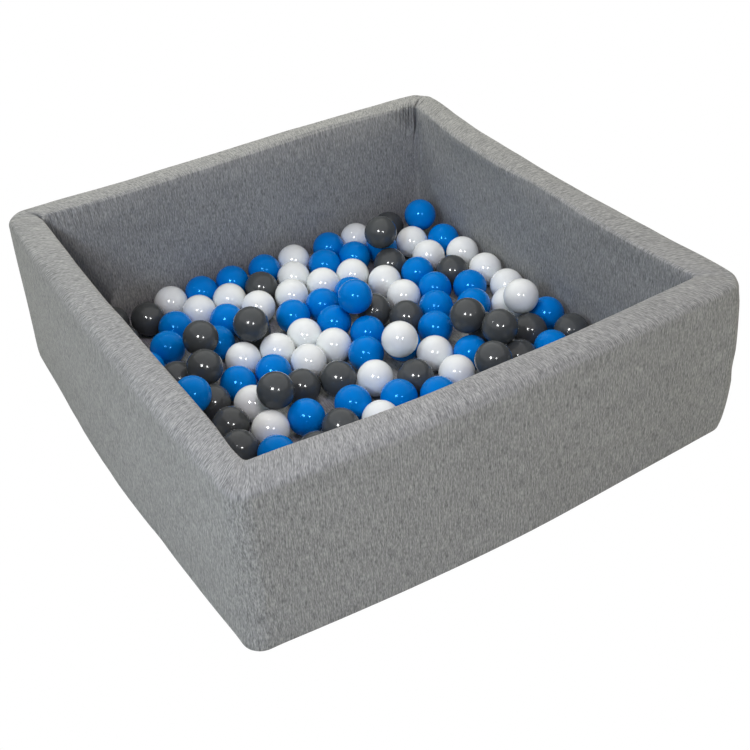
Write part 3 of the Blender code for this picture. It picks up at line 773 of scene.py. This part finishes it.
def foam_material(name, dark, middle, light):
    """Open cells of polyurethane foam, under a millimetre wide, that yellow unevenly."""
    material, tree, shader = new_material(name)
    place = own_place(tree)
    inputs = {"Vector": place, "Scale": CELLS_PER_METRE}
    cells = add_node(tree, "ShaderNodeTexVoronoi", inputs, feature="DISTANCE_TO_EDGE").outputs[0]
    aged = noise(tree, place, scale=7.0, detail=3.0)
    blend = weighted(tree, (aged, 0.8), (cells, 0.5))
    tint = ramp(tree, blend, ((0.3, dark), (0.5, middle), (0.7, light)))
    set_sockets(shader, {"Roughness": 0.95, "Specular IOR Level": 0.15})
    finish_with(tree, shader, tint, bump(tree, cells, CELL_DEPTH))
    return material


foam = foam_material("polyurethane_foam", "#cfc69f", "#ddd6b6", "#e8e3cb")


# %% Foam blocks
FOAM_CLEARANCE = 0.0005
MITRE_GAP = 0.0004
# Where the gathered cloth presses the foam in, how deep, and how far from there.
PRESSED_CORNERS = ((0.393, 0.396, 0.285), (-0.392, 0.398, 0.290))
PRESS_DEPTH = 0.0064
PRESS_REACH = 0.07
# A row of the section that lies on the outer face.
FACE_ROW = 5
SHARP_TURN = math.radians(50)


def block(name, points, material):
    """A closed solid over rings of points [station, place round the section, xyz]."""
    stations, count = points.shape[:2]
    index = np.arange(stations * count).reshape(stations, count)
    wrapped = np.concatenate((index, index[:, :1]), axis=1)
    corners = (wrapped[:-1, :-1], wrapped[1:, :-1], wrapped[1:, 1:], wrapped[:-1, 1:])
    faces = np.stack(corners, axis=-1).reshape(-1, 4).tolist()
    faces += [index[0].tolist(), index[-1][::-1].tolist()]
    mesh = bpy.data.meshes.new(name)
    mesh.from_pydata(points.reshape(-1, 3).tolist(), [], faces)
    shape = bmesh.new()
    shape.from_mesh(mesh)
    bmesh.ops.recalc_face_normals(shape, faces=shape.faces)
    shape.to_mesh(mesh)
    shape.free()
    mesh.shade_smooth()
    mesh.set_sharp_from_angle(angle=SHARP_TURN)
    if material:
        mesh.materials.append(material)
    return place_object(name, mesh)


def foam_rings():
    """The foam's surface under the cloth, as a band of points."""
    band, round_it, over_it = band_grid(columns=28, arc_steps=3, rows=10, steps=4)
    offset = cloth_offset(band, round_it, over_it)
    pressed = np.zeros(band.shape[:-1])
    for corner in PRESSED_CORNERS:
        apart = np.linalg.norm((band - corner) / (1.0, 1.0, 2.0), axis=-1)
        pressed += PRESS_DEPTH * np.exp(-((apart / PRESS_REACH) ** 4))
    return band + (offset - pressed - CLOTH - FOAM_CLEARANCE)[..., None] * grid_normals(band)


def wall_rings(band, quarter):
    """One wall's rings, a little short at both mitres, and closed flat at the bottom."""
    count = len(band) // 4
    rings = np.take(band, range(quarter * count, (quarter + 1) * count + 1), axis=0, mode="wrap")
    inwards = rings[count // 2, FACE_ROW] - rings[[0, -1], FACE_ROW]
    inwards /= np.linalg.norm(inwards, axis=1, keepdims=True)
    rings[[0, -1]] += MITRE_GAP * inwards[:, None]
    rings[:, :, 2] = np.maximum(rings[:, :, 2], CLOTH + SEAT_GAP)
    bottom = rings[:, -1:].copy()
    bottom[:, :, 2] = CLOTH + SEAT_GAP
    return np.concatenate((rings, bottom), axis=1)


foam_band = foam_rings()
for quarter, side in enumerate(BOWS):
    piece = block(f"foam_block_{side}", wall_rings(foam_band, quarter), foam)
    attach(piece, "pit")
    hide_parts(f"foam_{side}")
print("foam blocks of", len(piece.data.polygons), "faces each")


# %% Bevelled copies
def bevelled_copy(node, name, width, segments, material, body="pit"):
    """A piece with a CAD node's form and worn, rounded edges, which stands for that node."""
    shape = bmesh.new()
    shape.from_mesh(frame["nodes"][node].data)
    bmesh.ops.remove_doubles(shape, verts=shape.verts, dist=0.00001)
    bmesh.ops.dissolve_limit(shape, angle_limit=math.radians(1), verts=shape.verts, edges=shape.edges)
    mesh = bpy.data.meshes.new(name)
    shape.to_mesh(mesh)
    shape.free()
    mesh.materials.clear()
    mesh.materials.append(material)
    made = place_object(name, mesh)
    bevel = made.modifiers.new("bevel", "BEVEL")
    bevel.width = width
    bevel.segments = segments
    bevel.limit_method = "ANGLE"
    bevel.angle_limit = math.radians(35)
    graph = bpy.context.evaluated_depsgraph_get()
    made.data = bpy.data.meshes.new_from_object(made.evaluated_get(graph), depsgraph=graph)
    made.modifiers.clear()
    made.data.shade_smooth()
    made.data.set_sharp_from_angle(angle=SHARP_TURN)
    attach(made, body)
    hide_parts(node)
    return made


mat = bevelled_copy("foam_mat", "foam_floor_mat", 0.003, 2, foam)
print("mat of", len(mat.data.polygons), "faces")

# %% [markdown]
# ## Floor cloth
#
# The floor of the pit is cloth sewn to the foot of the sleeve and laid on the foam mat. It is a
# thin sheet, so a grid that follows the outline of the walls is enough. Its waves only go down,
# because balls stand on it.


# %% Floor cloth
FLOOR_RIPPLE = 0.0006
FLOOR_OVERLAP = 1.001


def ring_grid(rings):
    """A sheet's points from its outline inwards, as [ring, place round it, xyz]."""
    points = np.array(rings)
    return np.concatenate((points, points[:, :1]), axis=1)


def floor_rings(count):
    outline = sleeve_grid[::2, -1, :2] * FLOOR_OVERLAP
    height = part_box("cover_floor")[1].z
    rings = []
    for reach in np.linspace(1.0, 0.0, count) ** 0.8:
        x, y = (outline * reach).T
        wave = 0.5 + 0.5 * np.sin(31 * x + 9 * y) * np.sin(23 * y - 7 * x)
        rings.append(np.stack((x, y, height - FLOOR_RIPPLE * wave), axis=1))
    return ring_grid(rings)


points = floor_rings(34)
floor_cloth = surface("floor_cloth", points, jersey, uv=points[:, :, :2])
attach(floor_cloth, "pit")
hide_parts("cover_floor")
print("floor cloth of", len(floor_cloth.data.polygons), "faces")

# %% [markdown]
# ## Underside
#
# The underside is a plain woven cloth with a long slot for the zip. Its sheet runs from the foot
# of the sleeve to the slot, where its edge is folded back inside and sewn down with two rows of
# stitches. Each point of the outline is joined to the nearest point of the slot, so no lines
# cross.

# %% Zip sizes
ZIP_LINE = PIT_WIDTH / 2 - WALL - 0.060
ZIP_HALF = 0.350
SLOT_HALF_WIDTH = 0.0045
TAPE_BOTTOM = CLOTH + 0.003 + SEAT_GAP
COIL_BOTTOM = TAPE_BOTTOM + 0.0006 + SEAT_GAP
TAPE_WIDTH = 0.012
STITCH_PITCH = 0.0034
COIL_PITCH = 0.00125
WIRE_RADIUS = 0.00026
THREAD_RADIUS = 0.00014


# %% Woven materials
def woven_material(name, dark, middle, light, pitch, depth):
    """Plain weave: two sets of threads that pass over and under each other."""
    material, tree, shader = new_material(name)
    place = own_place(tree)
    turned = stretched(tree, place, (math.tau / pitch, math.tau / pitch, 0.0))
    parts = add_node(tree, "ShaderNodeSeparateXYZ", {0: turned})
    warp = math_node(tree, "SINE", parts.outputs["X"])
    weft = math_node(tree, "SINE", parts.outputs["Y"])
    weave = math_node(tree, "MULTIPLY", warp, weft)
    slub = noise(tree, stretched(tree, place, (60.0, 900.0, 1.0)), detail=3.0)
    worn = noise(tree, place, scale=11.0, detail=3.0)
    blend = weighted(tree, (slub, 0.55), (worn, 0.35), (weave, 0.06))
    tint = ramp(tree, blend, ((0.32, dark), (0.46, middle), (0.6, light)))
    set_sockets(shader, {"Roughness": 0.88, "Sheen Weight": 0.08, "Specular IOR Level": 0.25})
    finish_with(tree, shader, tint, bump(tree, weighted(tree, (weave, depth), (slub, depth))))
    return material


lining = woven_material("woven_underside_fabric", "#4a4d4e", "#5a5d5e", "#6a6e6e", 0.0012, 0.0001)
tape_cloth = woven_material("woven_zip_tape", "#6f7272", "#808383", "#909393", 0.0007, 0.00006)
thread = woven_material("sewing_thread", "#7d8080", "#8f9292", "#a0a3a3", 0.0004, 0.00004)


# %% Underside sheet
UNDER_LIFT = 0.0002
UNDER_RIPPLE = 0.0005
EDGE_SHARE = 0.010
FOLD_START = 0.016
# The folded edge round the slot: distance from the slot, and height.
SLOT_FOLD = (
    (0.0110, 0.0004), (0.0040, 0.0004), (0.0010, 0.0007), (0.0001, 0.0015), (0.0, 0.0023),
    (0.0004, 0.0032), (0.0016, 0.0039), (0.0050, 0.0041), (0.0100, 0.0041), (0.0155, 0.0042),
)


def slot_ring(outline, distance):
    """Points round the zip's slot, one for each point of the outline."""
    end = ZIP_HALF - SLOT_HALF_WIDTH
    nearest = np.stack((np.clip(outline[:, 0], -end, end), np.full(len(outline), ZIP_LINE)), axis=1)
    way = outline - nearest
    way /= np.linalg.norm(way, axis=1, keepdims=True)
    return nearest + way * (SLOT_HALF_WIDTH + distance)


def underside_rings():
    outline = sleeve_grid[::2, 0, :2]
    last = slot_ring(outline, FOLD_START)
    shares = np.concatenate(([0.0, 0.004, EDGE_SHARE], np.linspace(0.03, 1.0, 26)))
    rings = []
    for share in shares:
        x, y = (outline + (last - outline) * share).T
        wave = 0.5 + 0.5 * np.sin(27 * x - 11 * y) * np.sin(19 * y + 8 * x)
        edge = max(0.0, 1 - share / EDGE_SHARE) ** 2
        low = UNDER_LIFT + UNDER_RIPPLE * wave * min(1.0, 12 * share * (1 - share))
        rings.append(np.stack((x, y, low + (CLOTH - UNDER_LIFT) * edge), axis=1))
    for distance, height in SLOT_FOLD:
        x, y = slot_ring(outline, distance).T
        rings.append(np.stack((x, y, np.full(len(x), height)), axis=1))
    return ring_grid(rings)


points = underside_rings()
underside = surface("underside_cloth", points[:, ::-1], lining, uv=points[:, ::-1, :2])
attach(underside, "pit")
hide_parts("cover_underside")
print("underside of", len(underside.data.polygons), "faces")

# %% [markdown]
# ## Repeats made by Geometry Nodes
#
# Stitches and the turns of the zip's coils repeat hundreds of times. One small node tree sets a
# given piece on every point of a line. The unevenness of the sizes, the seed and the material are
# named inputs, and the result is kept as a plain mesh.


# %% Node tree that sets a piece on places
def tree_socket(tree, name, kind, default=None, way="INPUT"):
    socket = tree.interface.new_socket(name, in_out=way, socket_type=kind)
    if default is not None:
        socket.default_value = default
    return socket.identifier


def end_tree(tree, instances, material):
    """Makes the instances real and sends them out in the given material."""
    real = add_node(tree, "GeometryNodeRealizeInstances", {"Geometry": instances.outputs[0]}).outputs[0]
    dressed = add_node(tree, "GeometryNodeSetMaterial", {"Geometry": real, "Material": material})
    tree.links.new(dressed.outputs[0], tree.nodes.new("NodeGroupOutput").inputs[0])


def repeat_tree():
    tree = bpy.data.node_groups.new("piece_on_places", "GeometryNodeTree")
    ids = {"Places": tree_socket(tree, "Places", "NodeSocketGeometry")}
    ids["Piece"] = tree_socket(tree, "Piece", "NodeSocketObject")
    ids["Unevenness"] = tree_socket(tree, "Unevenness", "NodeSocketFloat", 0.05)
    ids["Seed"] = tree_socket(tree, "Seed", "NodeSocketInt", 1)
    ids["Material"] = tree_socket(tree, "Material", "NodeSocketMaterial")
    tree_socket(tree, "Pieces", "NodeSocketGeometry", way="OUTPUT")
    given = tree.nodes.new("NodeGroupInput").outputs
    piece = add_node(tree, "GeometryNodeObjectInfo", {"Object": given["Piece"]}).outputs["Geometry"]
    low = math_node(tree, "SUBTRACT", 1.0, given["Unevenness"])
    size = add_node(tree, "FunctionNodeRandomValue", {"Seed": given["Seed"]}, data_type="FLOAT")
    tree.links.new(low, size.inputs[2])
    size.inputs[3].default_value = 1.0
    inputs = {"Points": given["Places"], "Instance": piece, "Scale": size.outputs[1]}
    end_tree(tree, add_node(tree, "GeometryNodeInstanceOnPoints", inputs), given["Material"])
    return tree, ids


def run_nodes(name, places, tree, values):
    """Runs a node tree on a list of points and keeps the result as a plain mesh object."""
    mesh = bpy.data.meshes.new(name + "_places")
    mesh.from_pydata([tuple(place) for place in places], [], [])
    carrier = place_object(name + "_places", mesh)
    modifier = carrier.modifiers.new("nodes", "NODES")
    modifier.node_group = tree
    for identifier, value in values.items():
        modifier[identifier] = value
    graph = bpy.context.evaluated_depsgraph_get()
    made = bpy.data.meshes.new_from_object(carrier.evaluated_get(graph), depsgraph=graph)
    bpy.data.objects.remove(carrier)
    made.name = name
    return place_object(name, made)


repeats, repeat_ids = repeat_tree()


def tube(name, path, radius, sides, reference):
    """A closed round tube along a path, square to a direction that the path never takes."""
    path = np.array(path, float)
    tangent = np.gradient(path, axis=0)
    side = np.cross(tangent, reference)
    side /= np.linalg.norm(side, axis=1, keepdims=True)
    over = np.cross(side, tangent)
    over /= np.linalg.norm(over, axis=1, keepdims=True)
    turn = np.linspace(0, math.tau, sides, endpoint=False)[:, None]
    rings = []
    for centre, across, upwards in zip(path, side, over):
        rings.append(centre + radius * (across * np.cos(turn) + upwards * np.sin(turn)))
    return block(name, np.array(rings), None)


def repeat(name, piece, places, material, seed, unevenness):
    values = {repeat_ids["Piece"]: piece, repeat_ids["Seed"]: seed, repeat_ids["Material"]: material}
    made = run_nodes(name, places, repeats, {**values, repeat_ids["Unevenness"]: unevenness})
    made.data.shade_smooth()
    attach(made, "pit")
    return made


# %% Stitches round the slot
STITCH_HALF = 0.0012
STITCH_TOP = 0.00035
STITCH_RISE = 0.00025
STITCH_LIFT = 0.00005
STITCH_ROWS = (0.0035, 0.0105)
STITCH_MARGIN = 0.002


def stitch_path():
    """One stitch along the zip, whose ends bend up into the cloth."""
    run = np.linspace(-STITCH_HALF, STITCH_HALF, 5)
    return [(x, 0.0, STITCH_TOP - STITCH_RISE * (1 - (x / STITCH_HALF) ** 2)) for x in run]


stitch = tube("stitch", stitch_path(), THREAD_RADIUS, 5, (0.0, 1.0, 0.0))
rows = [ZIP_LINE + way * (SLOT_HALF_WIDTH + apart) for way in (-1, 1) for apart in STITCH_ROWS]
run = np.arange(-ZIP_HALF + STITCH_MARGIN, ZIP_HALF - STITCH_MARGIN, STITCH_PITCH)
places = [(x, y, STITCH_LIFT) for y in rows for x in run]
stitches = repeat("hem_stitches", stitch, places, thread, 3, 0.1)
bpy.data.objects.remove(stitch)
print("hem with", len(places), "stitches")

# %% [markdown]
# ## Zip
#
# Two woven tapes carry coils of nylon wire, whose turns are the zip's teeth. A slit stays between
# the coils, as in the CAD, for the neck of the slider to pass. Slider, pull and stops keep their
# CAD form with their edges rounded, in cast zinc that is rubbed bright.


# %% Zip materials
def zinc_material(name):
    material, tree, shader = new_material(name)
    place = own_place(tree)
    rubbed = noise(tree, stretched(tree, place, (250.0, 2500.0, 2500.0)), detail=3.0)
    cast = noise(tree, place, scale=900.0)
    tint = ramp(tree, rubbed, ((0.35, "#8b8d90"), (0.65, "#b4b6b8")))
    set_sockets(shader, {"Metallic": 1.0})
    finish_with(tree, shader, tint, bump(tree, cast, 0.00004), mapped(tree, rubbed, 0.24, 0.42))
    return material


def nylon_material(name):
    material, tree, shader = new_material(name)
    milky = noise(tree, own_place(tree), scale=300.0)
    tint = ramp(tree, milky, ((0.35, "#777a7b"), (0.65, "#8d9090")))
    set_sockets(shader, {"IOR": 1.53})
    finish_with(tree, shader, tint, bump(tree, milky, 0.00003), mapped(tree, milky, 0.34, 0.5))
    return material


zinc = zinc_material("zinc_alloy")
nylon = nylon_material("nylon_coil")


# %% Tapes and coils
SLIT_HALF_WIDTH = 0.0012
TAPE_MIDDLE = TAPE_BOTTOM + 0.0003
TAPE_HALF_THICKNESS = 0.00028
TAPE_RIPPLE = 0.00002
COIL_MARGIN = 0.0008
# A tape's section in shares of its half width and half thickness.
TAPE_SECTION = (
    (-1, 0), (-0.97, 0.8), (-0.9, 1), (0.9, 1), (0.97, 0.8),
    (1, 0), (0.97, -0.7857), (0.9, -1), (-0.9, -1), (-0.97, -0.7857),
)
# One turn of the coil: along the zip, out from its middle line, and up from the coil's bottom.
COIL_TURN = (
    (-0.0003, 0.0041, 0.0003),
    (-0.0002, 0.0032, 0.0003),
    (-0.0001, 0.0022, 0.0003),
    (0.0, 0.0018, 0.0006),
    (0.0, 0.0017, 0.0010),
    (0.0001, 0.0018, 0.0014),
    (0.0002, 0.0022, 0.0017),
    (0.0003, 0.0032, 0.0017),
    (0.0004, 0.0041, 0.0017),
)


def tape(side, way):
    """A thin woven strip with rounded edges and a slight ripple."""
    edges = (way * SLIT_HALF_WIDTH, way * (SLOT_HALF_WIDTH + TAPE_WIDTH))
    centre = ZIP_LINE + sum(edges) / 2
    half = abs(edges[1] - edges[0]) / 2
    rings = []
    for x in np.linspace(-ZIP_HALF, ZIP_HALF, 141):
        height = TAPE_MIDDLE + TAPE_RIPPLE * math.sin(190 * x + way)
        rings.append([(x, centre + half * c, height + TAPE_HALF_THICKNESS * s) for c, s in TAPE_SECTION])
    made = block(f"woven_tape_{side}", np.array(rings), tape_cloth)
    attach(made, "pit")
    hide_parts(f"zip_tape_{side}")
    return made


def coil(side, way):
    """Turns of nylon wire, each a flat loop with its head towards the slit."""
    path = [(x, way * y, COIL_BOTTOM + z) for x, y, z in COIL_TURN]
    turn = tube(f"turn_{side}", path, WIRE_RADIUS, 5, (1.0, 0.0, 0.0))
    start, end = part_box(f"zip_coil_{side}")
    run = np.arange(start.x + COIL_MARGIN, end.x - COIL_MARGIN, COIL_PITCH)
    places = [(x, ZIP_LINE, 0.0) for x in run]
    made = repeat(f"nylon_coil_{side}", turn, places, nylon, 4, 0.0)
    bpy.data.objects.remove(turn)
    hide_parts(f"zip_coil_{side}")
    return made


for side, way in (("front", -1), ("back", 1)):
    tape(side, way)
    made = coil(side, way)
    bevelled_copy(f"zip_top_stop_{side}", f"top_stop_{side}", 0.0004, 2, zinc)
print("zip coils of", len(made.data.polygons), "faces")
bevelled_copy("zip_bottom_stop", "bottom_stop", 0.0005, 2, zinc)
bevelled_copy("zip_slider", "slider", 0.00022, 2, zinc, body="slider")
bevelled_copy("zip_pull", "pull_tab", 0.00012, 2, zinc, body="pull")

# %% [markdown]
# ## Plastic balls
#
# Pit balls are blown from polyethylene, so they are smooth shells with a fine mould line round
# the middle. Each CAD group stands on the floor, and the lowest corner of each of its balls
# gives that ball's place. Geometry Nodes sets one shell on each place, turned at random from a
# fixed seed. The shell keeps its own coordinates as an attribute, which the mould line follows.


# %% Ball materials
MOULD_LINE_REACH = 0.0004
MOULD_LINE_HEIGHT = 0.00015


def ball_material(name, base, cloud, gloss_tint):
    """Blown polyethylene: faint clouds of pigment, light scuffs and a raised mould line."""
    material, tree, shader = new_material(name)
    own = point_value(tree, "ball_place", "Vector")
    tint = ramp(tree, noise(tree, own, scale=40.0), ((0.3, cloud), (0.7, base)))
    scuff = noise(tree, own, scale=90.0, detail=3.0)
    height = add_node(tree, "ShaderNodeSeparateXYZ", {0: own}).outputs["Z"]
    inputs = {0: math_node(tree, "ABSOLUTE", height), 1: 0.0, 2: MOULD_LINE_REACH, 3: 1.0, 4: 0.0}
    line = add_node(tree, "ShaderNodeMapRange", inputs).outputs[0]
    set_sockets(shader, {"IOR": 1.51, "Specular IOR Level": 0.3, "Specular Tint": colour(gloss_tint)})
    set_sockets(shader, {"Subsurface Weight": 0.05, "Subsurface Radius": (0.004, 0.004, 0.004)})
    finish_with(tree, shader, tint, bump(tree, line, MOULD_LINE_HEIGHT), mapped(tree, scuff, 0.09, 0.16))
    return material


ball_finishes = {
    "W": ball_material("white_polyethylene", "#eff5f4", "#e8eeee", "#ffffff"),
    "B": ball_material("blue_polyethylene", "#007cd4", "#0076cb", "#50b4ff"),
    "D": ball_material("dark_grey_polyethylene", "#4c5051", "#464a4b", "#ffffff"),
}

# %% Places of the floor balls
TOUCH = 0.00001
# The colours of each CAD group's balls, from left to right: white, blue or dark grey.
GROUP_COLOURS = (
    "D", "BBWBD", "DWBWBWDB", "BWBBWWWBW", "BBBWBWWBW", "WBDWDBDD", "B", "DDBWWBDBB", "BWDDDBWBD",
    "DDW", "WBWWWWBB", "D", "BBDWWW", "WBDBWBDBD", "BWWBDDBW", "DBDBD", "WDWBDDW", "BBDWWBDB",
    "BDWBDWB", "WBBDWDB",
)


def lowest_places(node):
    """Where the balls of a CAD group touch the floor, from left to right."""
    low = FLOOR_HEIGHT + SEAT_GAP + TOUCH
    verts = frame["nodes"][node].data.vertices
    return sorted({(round(v.co.x, 5), round(v.co.y, 5)) for v in verts if v.co.z < low})


floor_nodes = sorted(name for name in frame["nodes"] if name.startswith("floor_balls"))
places = {"W": [], "B": [], "D": []}
for node, colours in zip(floor_nodes, GROUP_COLOURS):
    spots = lowest_places(node)
    assert len(spots) == len(colours), (node, len(spots), len(colours))
    for letter, (x, y) in zip(colours, spots):
        places[letter].append((x, y, FLOOR_HEIGHT + SEAT_GAP + BALL_RADIUS))
print({letter: len(spots) for letter, spots in places.items()}, "balls on the floor")


# %% Geometry Nodes: a shell on every place
BALL_LABELS = {"W": "white", "B": "blue", "D": "dark_grey"}
BALL_SLOTS = {"W": "ball_white", "B": "ball_blue", "D": "ball_grey"}
SHELL_GAP = 0.0002


def ball_tree():
    tree = bpy.data.node_groups.new("balls_on_places", "GeometryNodeTree")
    ids = {"Places": tree_socket(tree, "Places", "NodeSocketGeometry")}
    ids["Radius"] = tree_socket(tree, "Radius", "NodeSocketFloat", BALL_RADIUS - SHELL_GAP)
    ids["Segments"] = tree_socket(tree, "Segments", "NodeSocketInt", 48)
    ids["Seed"] = tree_socket(tree, "Seed", "NodeSocketInt", 1)
    ids["Material"] = tree_socket(tree, "Material", "NodeSocketMaterial")
    tree_socket(tree, "Shells", "NodeSocketGeometry", way="OUTPUT")
    given = tree.nodes.new("NodeGroupInput").outputs
    inputs = {"Segments": given["Segments"], "Radius": given["Radius"]}
    inputs["Rings"] = math_node(tree, "MULTIPLY", given["Segments"], 0.5)
    sphere = add_node(tree, "GeometryNodeMeshUVSphere", inputs).outputs["Mesh"]
    own = add_node(tree, "GeometryNodeInputPosition").outputs[0]
    inputs = {"Geometry": sphere, "Name": "ball_place", "Value": own}
    kinds = {"data_type": "FLOAT_VECTOR", "domain": "POINT"}
    kept = add_node(tree, "GeometryNodeStoreNamedAttribute", inputs, **kinds).outputs[0]
    smooth = add_node(tree, "GeometryNodeSetShadeSmooth", {"Geometry": kept}).outputs[0]
    turn = add_node(tree, "FunctionNodeRandomValue", {"Seed": given["Seed"]}, data_type="FLOAT_VECTOR")
    turn.inputs["Max"].default_value = (math.tau, math.tau, math.tau)
    inputs = {"Points": given["Places"], "Instance": smooth, "Rotation": turn.outputs[0]}
    end_tree(tree, add_node(tree, "GeometryNodeInstanceOnPoints", inputs), given["Material"])
    return tree, ids


shells, shell_ids = ball_tree()


def set_balls(name, spots, letter, seed, body):
    values = {shell_ids["Seed"]: seed, shell_ids["Material"]: ball_finishes[letter]}
    made = run_nodes(name, spots, shells, values)
    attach(made, body)
    return made


for seed, (letter, spots) in enumerate(places.items(), 1):
    made = set_balls(f"{BALL_LABELS[letter]}_floor_balls", spots, letter, seed, "pit")
    print(made.name, len(made.data.polygons), "faces")
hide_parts(*floor_nodes)

# %% Loose balls
# Each one rides on its own body, and takes its colour from the record.
slot_letters = {slot: letter for letter, slot in BALL_SLOTS.items()}
letters = {part["node"]: slot_letters.get(part["material_slot"]) for part in frame["record"]["subparts"]}
for node in sorted(name for name in frame["nodes"] if name.startswith("loose_ball")):
    low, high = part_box(node)
    number = node[-2:]
    centre = (low + high) / 2
    made = set_balls(f"ball_{number}_shell", [centre], letters[node], int(number), f"ball_{number}")
    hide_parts(node)
print("loose balls done")

# %% [markdown]
# ## Light and floor
#
# The photograph is lit by two small studio lamps near the camera, which every ball shows as two
# bright dots, and by broad soft light from the left, the front and behind, which brightens the
# rim at the back. The dots come from small lamps that only mirrors see, and the soft light from
# lamps that no mirror sees. The picture has a white background with no shadow, so the camera and
# reflections see the floor and the world as plain white, while the light that they give stays
# soft and a little warm.


# %% Light
AIM_POINT = (0.0, 0.0, 0.12)


def aim(thing, place, target):
    thing.location = place
    thing.rotation_euler = (Vector(target) - Vector(place)).to_track_quat("-Z", "Y").to_euler()


def add_light(name, place, size, watts, tint):
    data = bpy.data.lights.new(name, "AREA")
    data.shape = "DISK"
    data.size = size
    data.energy = watts
    data.color = linear(tint)
    light = place_object(name, data)
    aim(light, place, AIM_POINT)
    return light


def add_softbox(*args):
    """A broad lamp that no ball mirrors, like light bounced off the studio's walls."""
    add_light(*args).visible_glossy = False


def add_catchlight(*args):
    """A small bright disc that only shows as a dot in glossy surfaces."""
    add_light(*args).visible_diffuse = False


def from_pit(azimuth, elevation, distance):
    """A place round the pit: azimuth 0 is in front, and positive goes to the left."""
    flat = distance * math.cos(math.radians(elevation))
    turn = math.radians(azimuth)
    height = distance * math.sin(math.radians(elevation))
    return (-flat * math.sin(turn), -flat * math.cos(turn), height)


add_softbox("side_lamp", from_pit(61, 40, 2.2), 0.36, 10.9, "#d4e5ff")
add_softbox("front_softbox", (-0.4, -0.9, 2.0), 0.8, 10.8, "#efddfb")
add_softbox("back_softbox", from_pit(188, 55, 1.75), 0.6, 10.0, "#fffbf4")
add_catchlight("left_catchlight", from_pit(51, 46, 2.6), 0.52, 60, "#ffffff")
add_catchlight("right_catchlight", from_pit(7, 39, 2.6), 0.38, 26, "#ffffff")
print(len(bpy.data.lights), "lamps")


def seen_ray(tree):
    """One for rays from the camera and from mirror-like surfaces, which see the background."""
    path = add_node(tree, "ShaderNodeLightPath").outputs
    seen = math_node(tree, "MAXIMUM", path["Is Camera Ray"], path["Is Glossy Ray"])
    return math_node(tree, "MAXIMUM", seen, path["Is Transmission Ray"])


def white_to_camera(tree, shader):
    """Shows plain white to the camera and in reflections, and the shader to every other ray."""
    white = add_node(tree, "ShaderNodeEmission", {"Strength": 1.0}).outputs[0]
    return add_node(tree, "ShaderNodeMixShader", {0: seen_ray(tree), 1: shader, 2: white}).outputs[0]


# %% Floor and world
STUDIO_WIDTH = 12.0
STUDIO_DROP = 0.0005
AMBIENT_STRENGTH = 0.58


def add_floor():
    bpy.ops.mesh.primitive_plane_add(size=STUDIO_WIDTH, location=(0.0, 0.0, -STUDIO_DROP))
    floor = bpy.context.object
    floor.name = "studio_floor"
    material, tree, shader = new_material("pale_studio_floor")
    set_sockets(shader, {"Base Color": colour("#dcdcdc"), "Roughness": 0.9})
    out = tree.nodes["Material Output"]
    tree.links.new(white_to_camera(tree, shader.outputs[0]), out.inputs["Surface"])
    floor.data.materials.append(material)


def add_world():
    world = bpy.data.worlds.new("studio")
    bpy.context.scene.world = world
    world.use_nodes = True
    tree = world.node_tree
    ambient = tree.nodes["Background"]
    set_sockets(ambient, {"Color": colour("#fffae6"), "Strength": AMBIENT_STRENGTH})
    white = add_node(tree, "ShaderNodeBackground", {"Color": (1.0, 1.0, 1.0, 1.0)}).outputs[0]
    inputs = {0: seen_ray(tree), 1: ambient.outputs[0], 2: white}
    mixed = add_node(tree, "ShaderNodeMixShader", inputs).outputs[0]
    tree.links.new(mixed, tree.nodes["World Output"].inputs["Surface"])


add_floor()
add_world()
print("world", bpy.context.scene.world.name)
bpy.context.scene.view_settings.view_transform = "Standard"
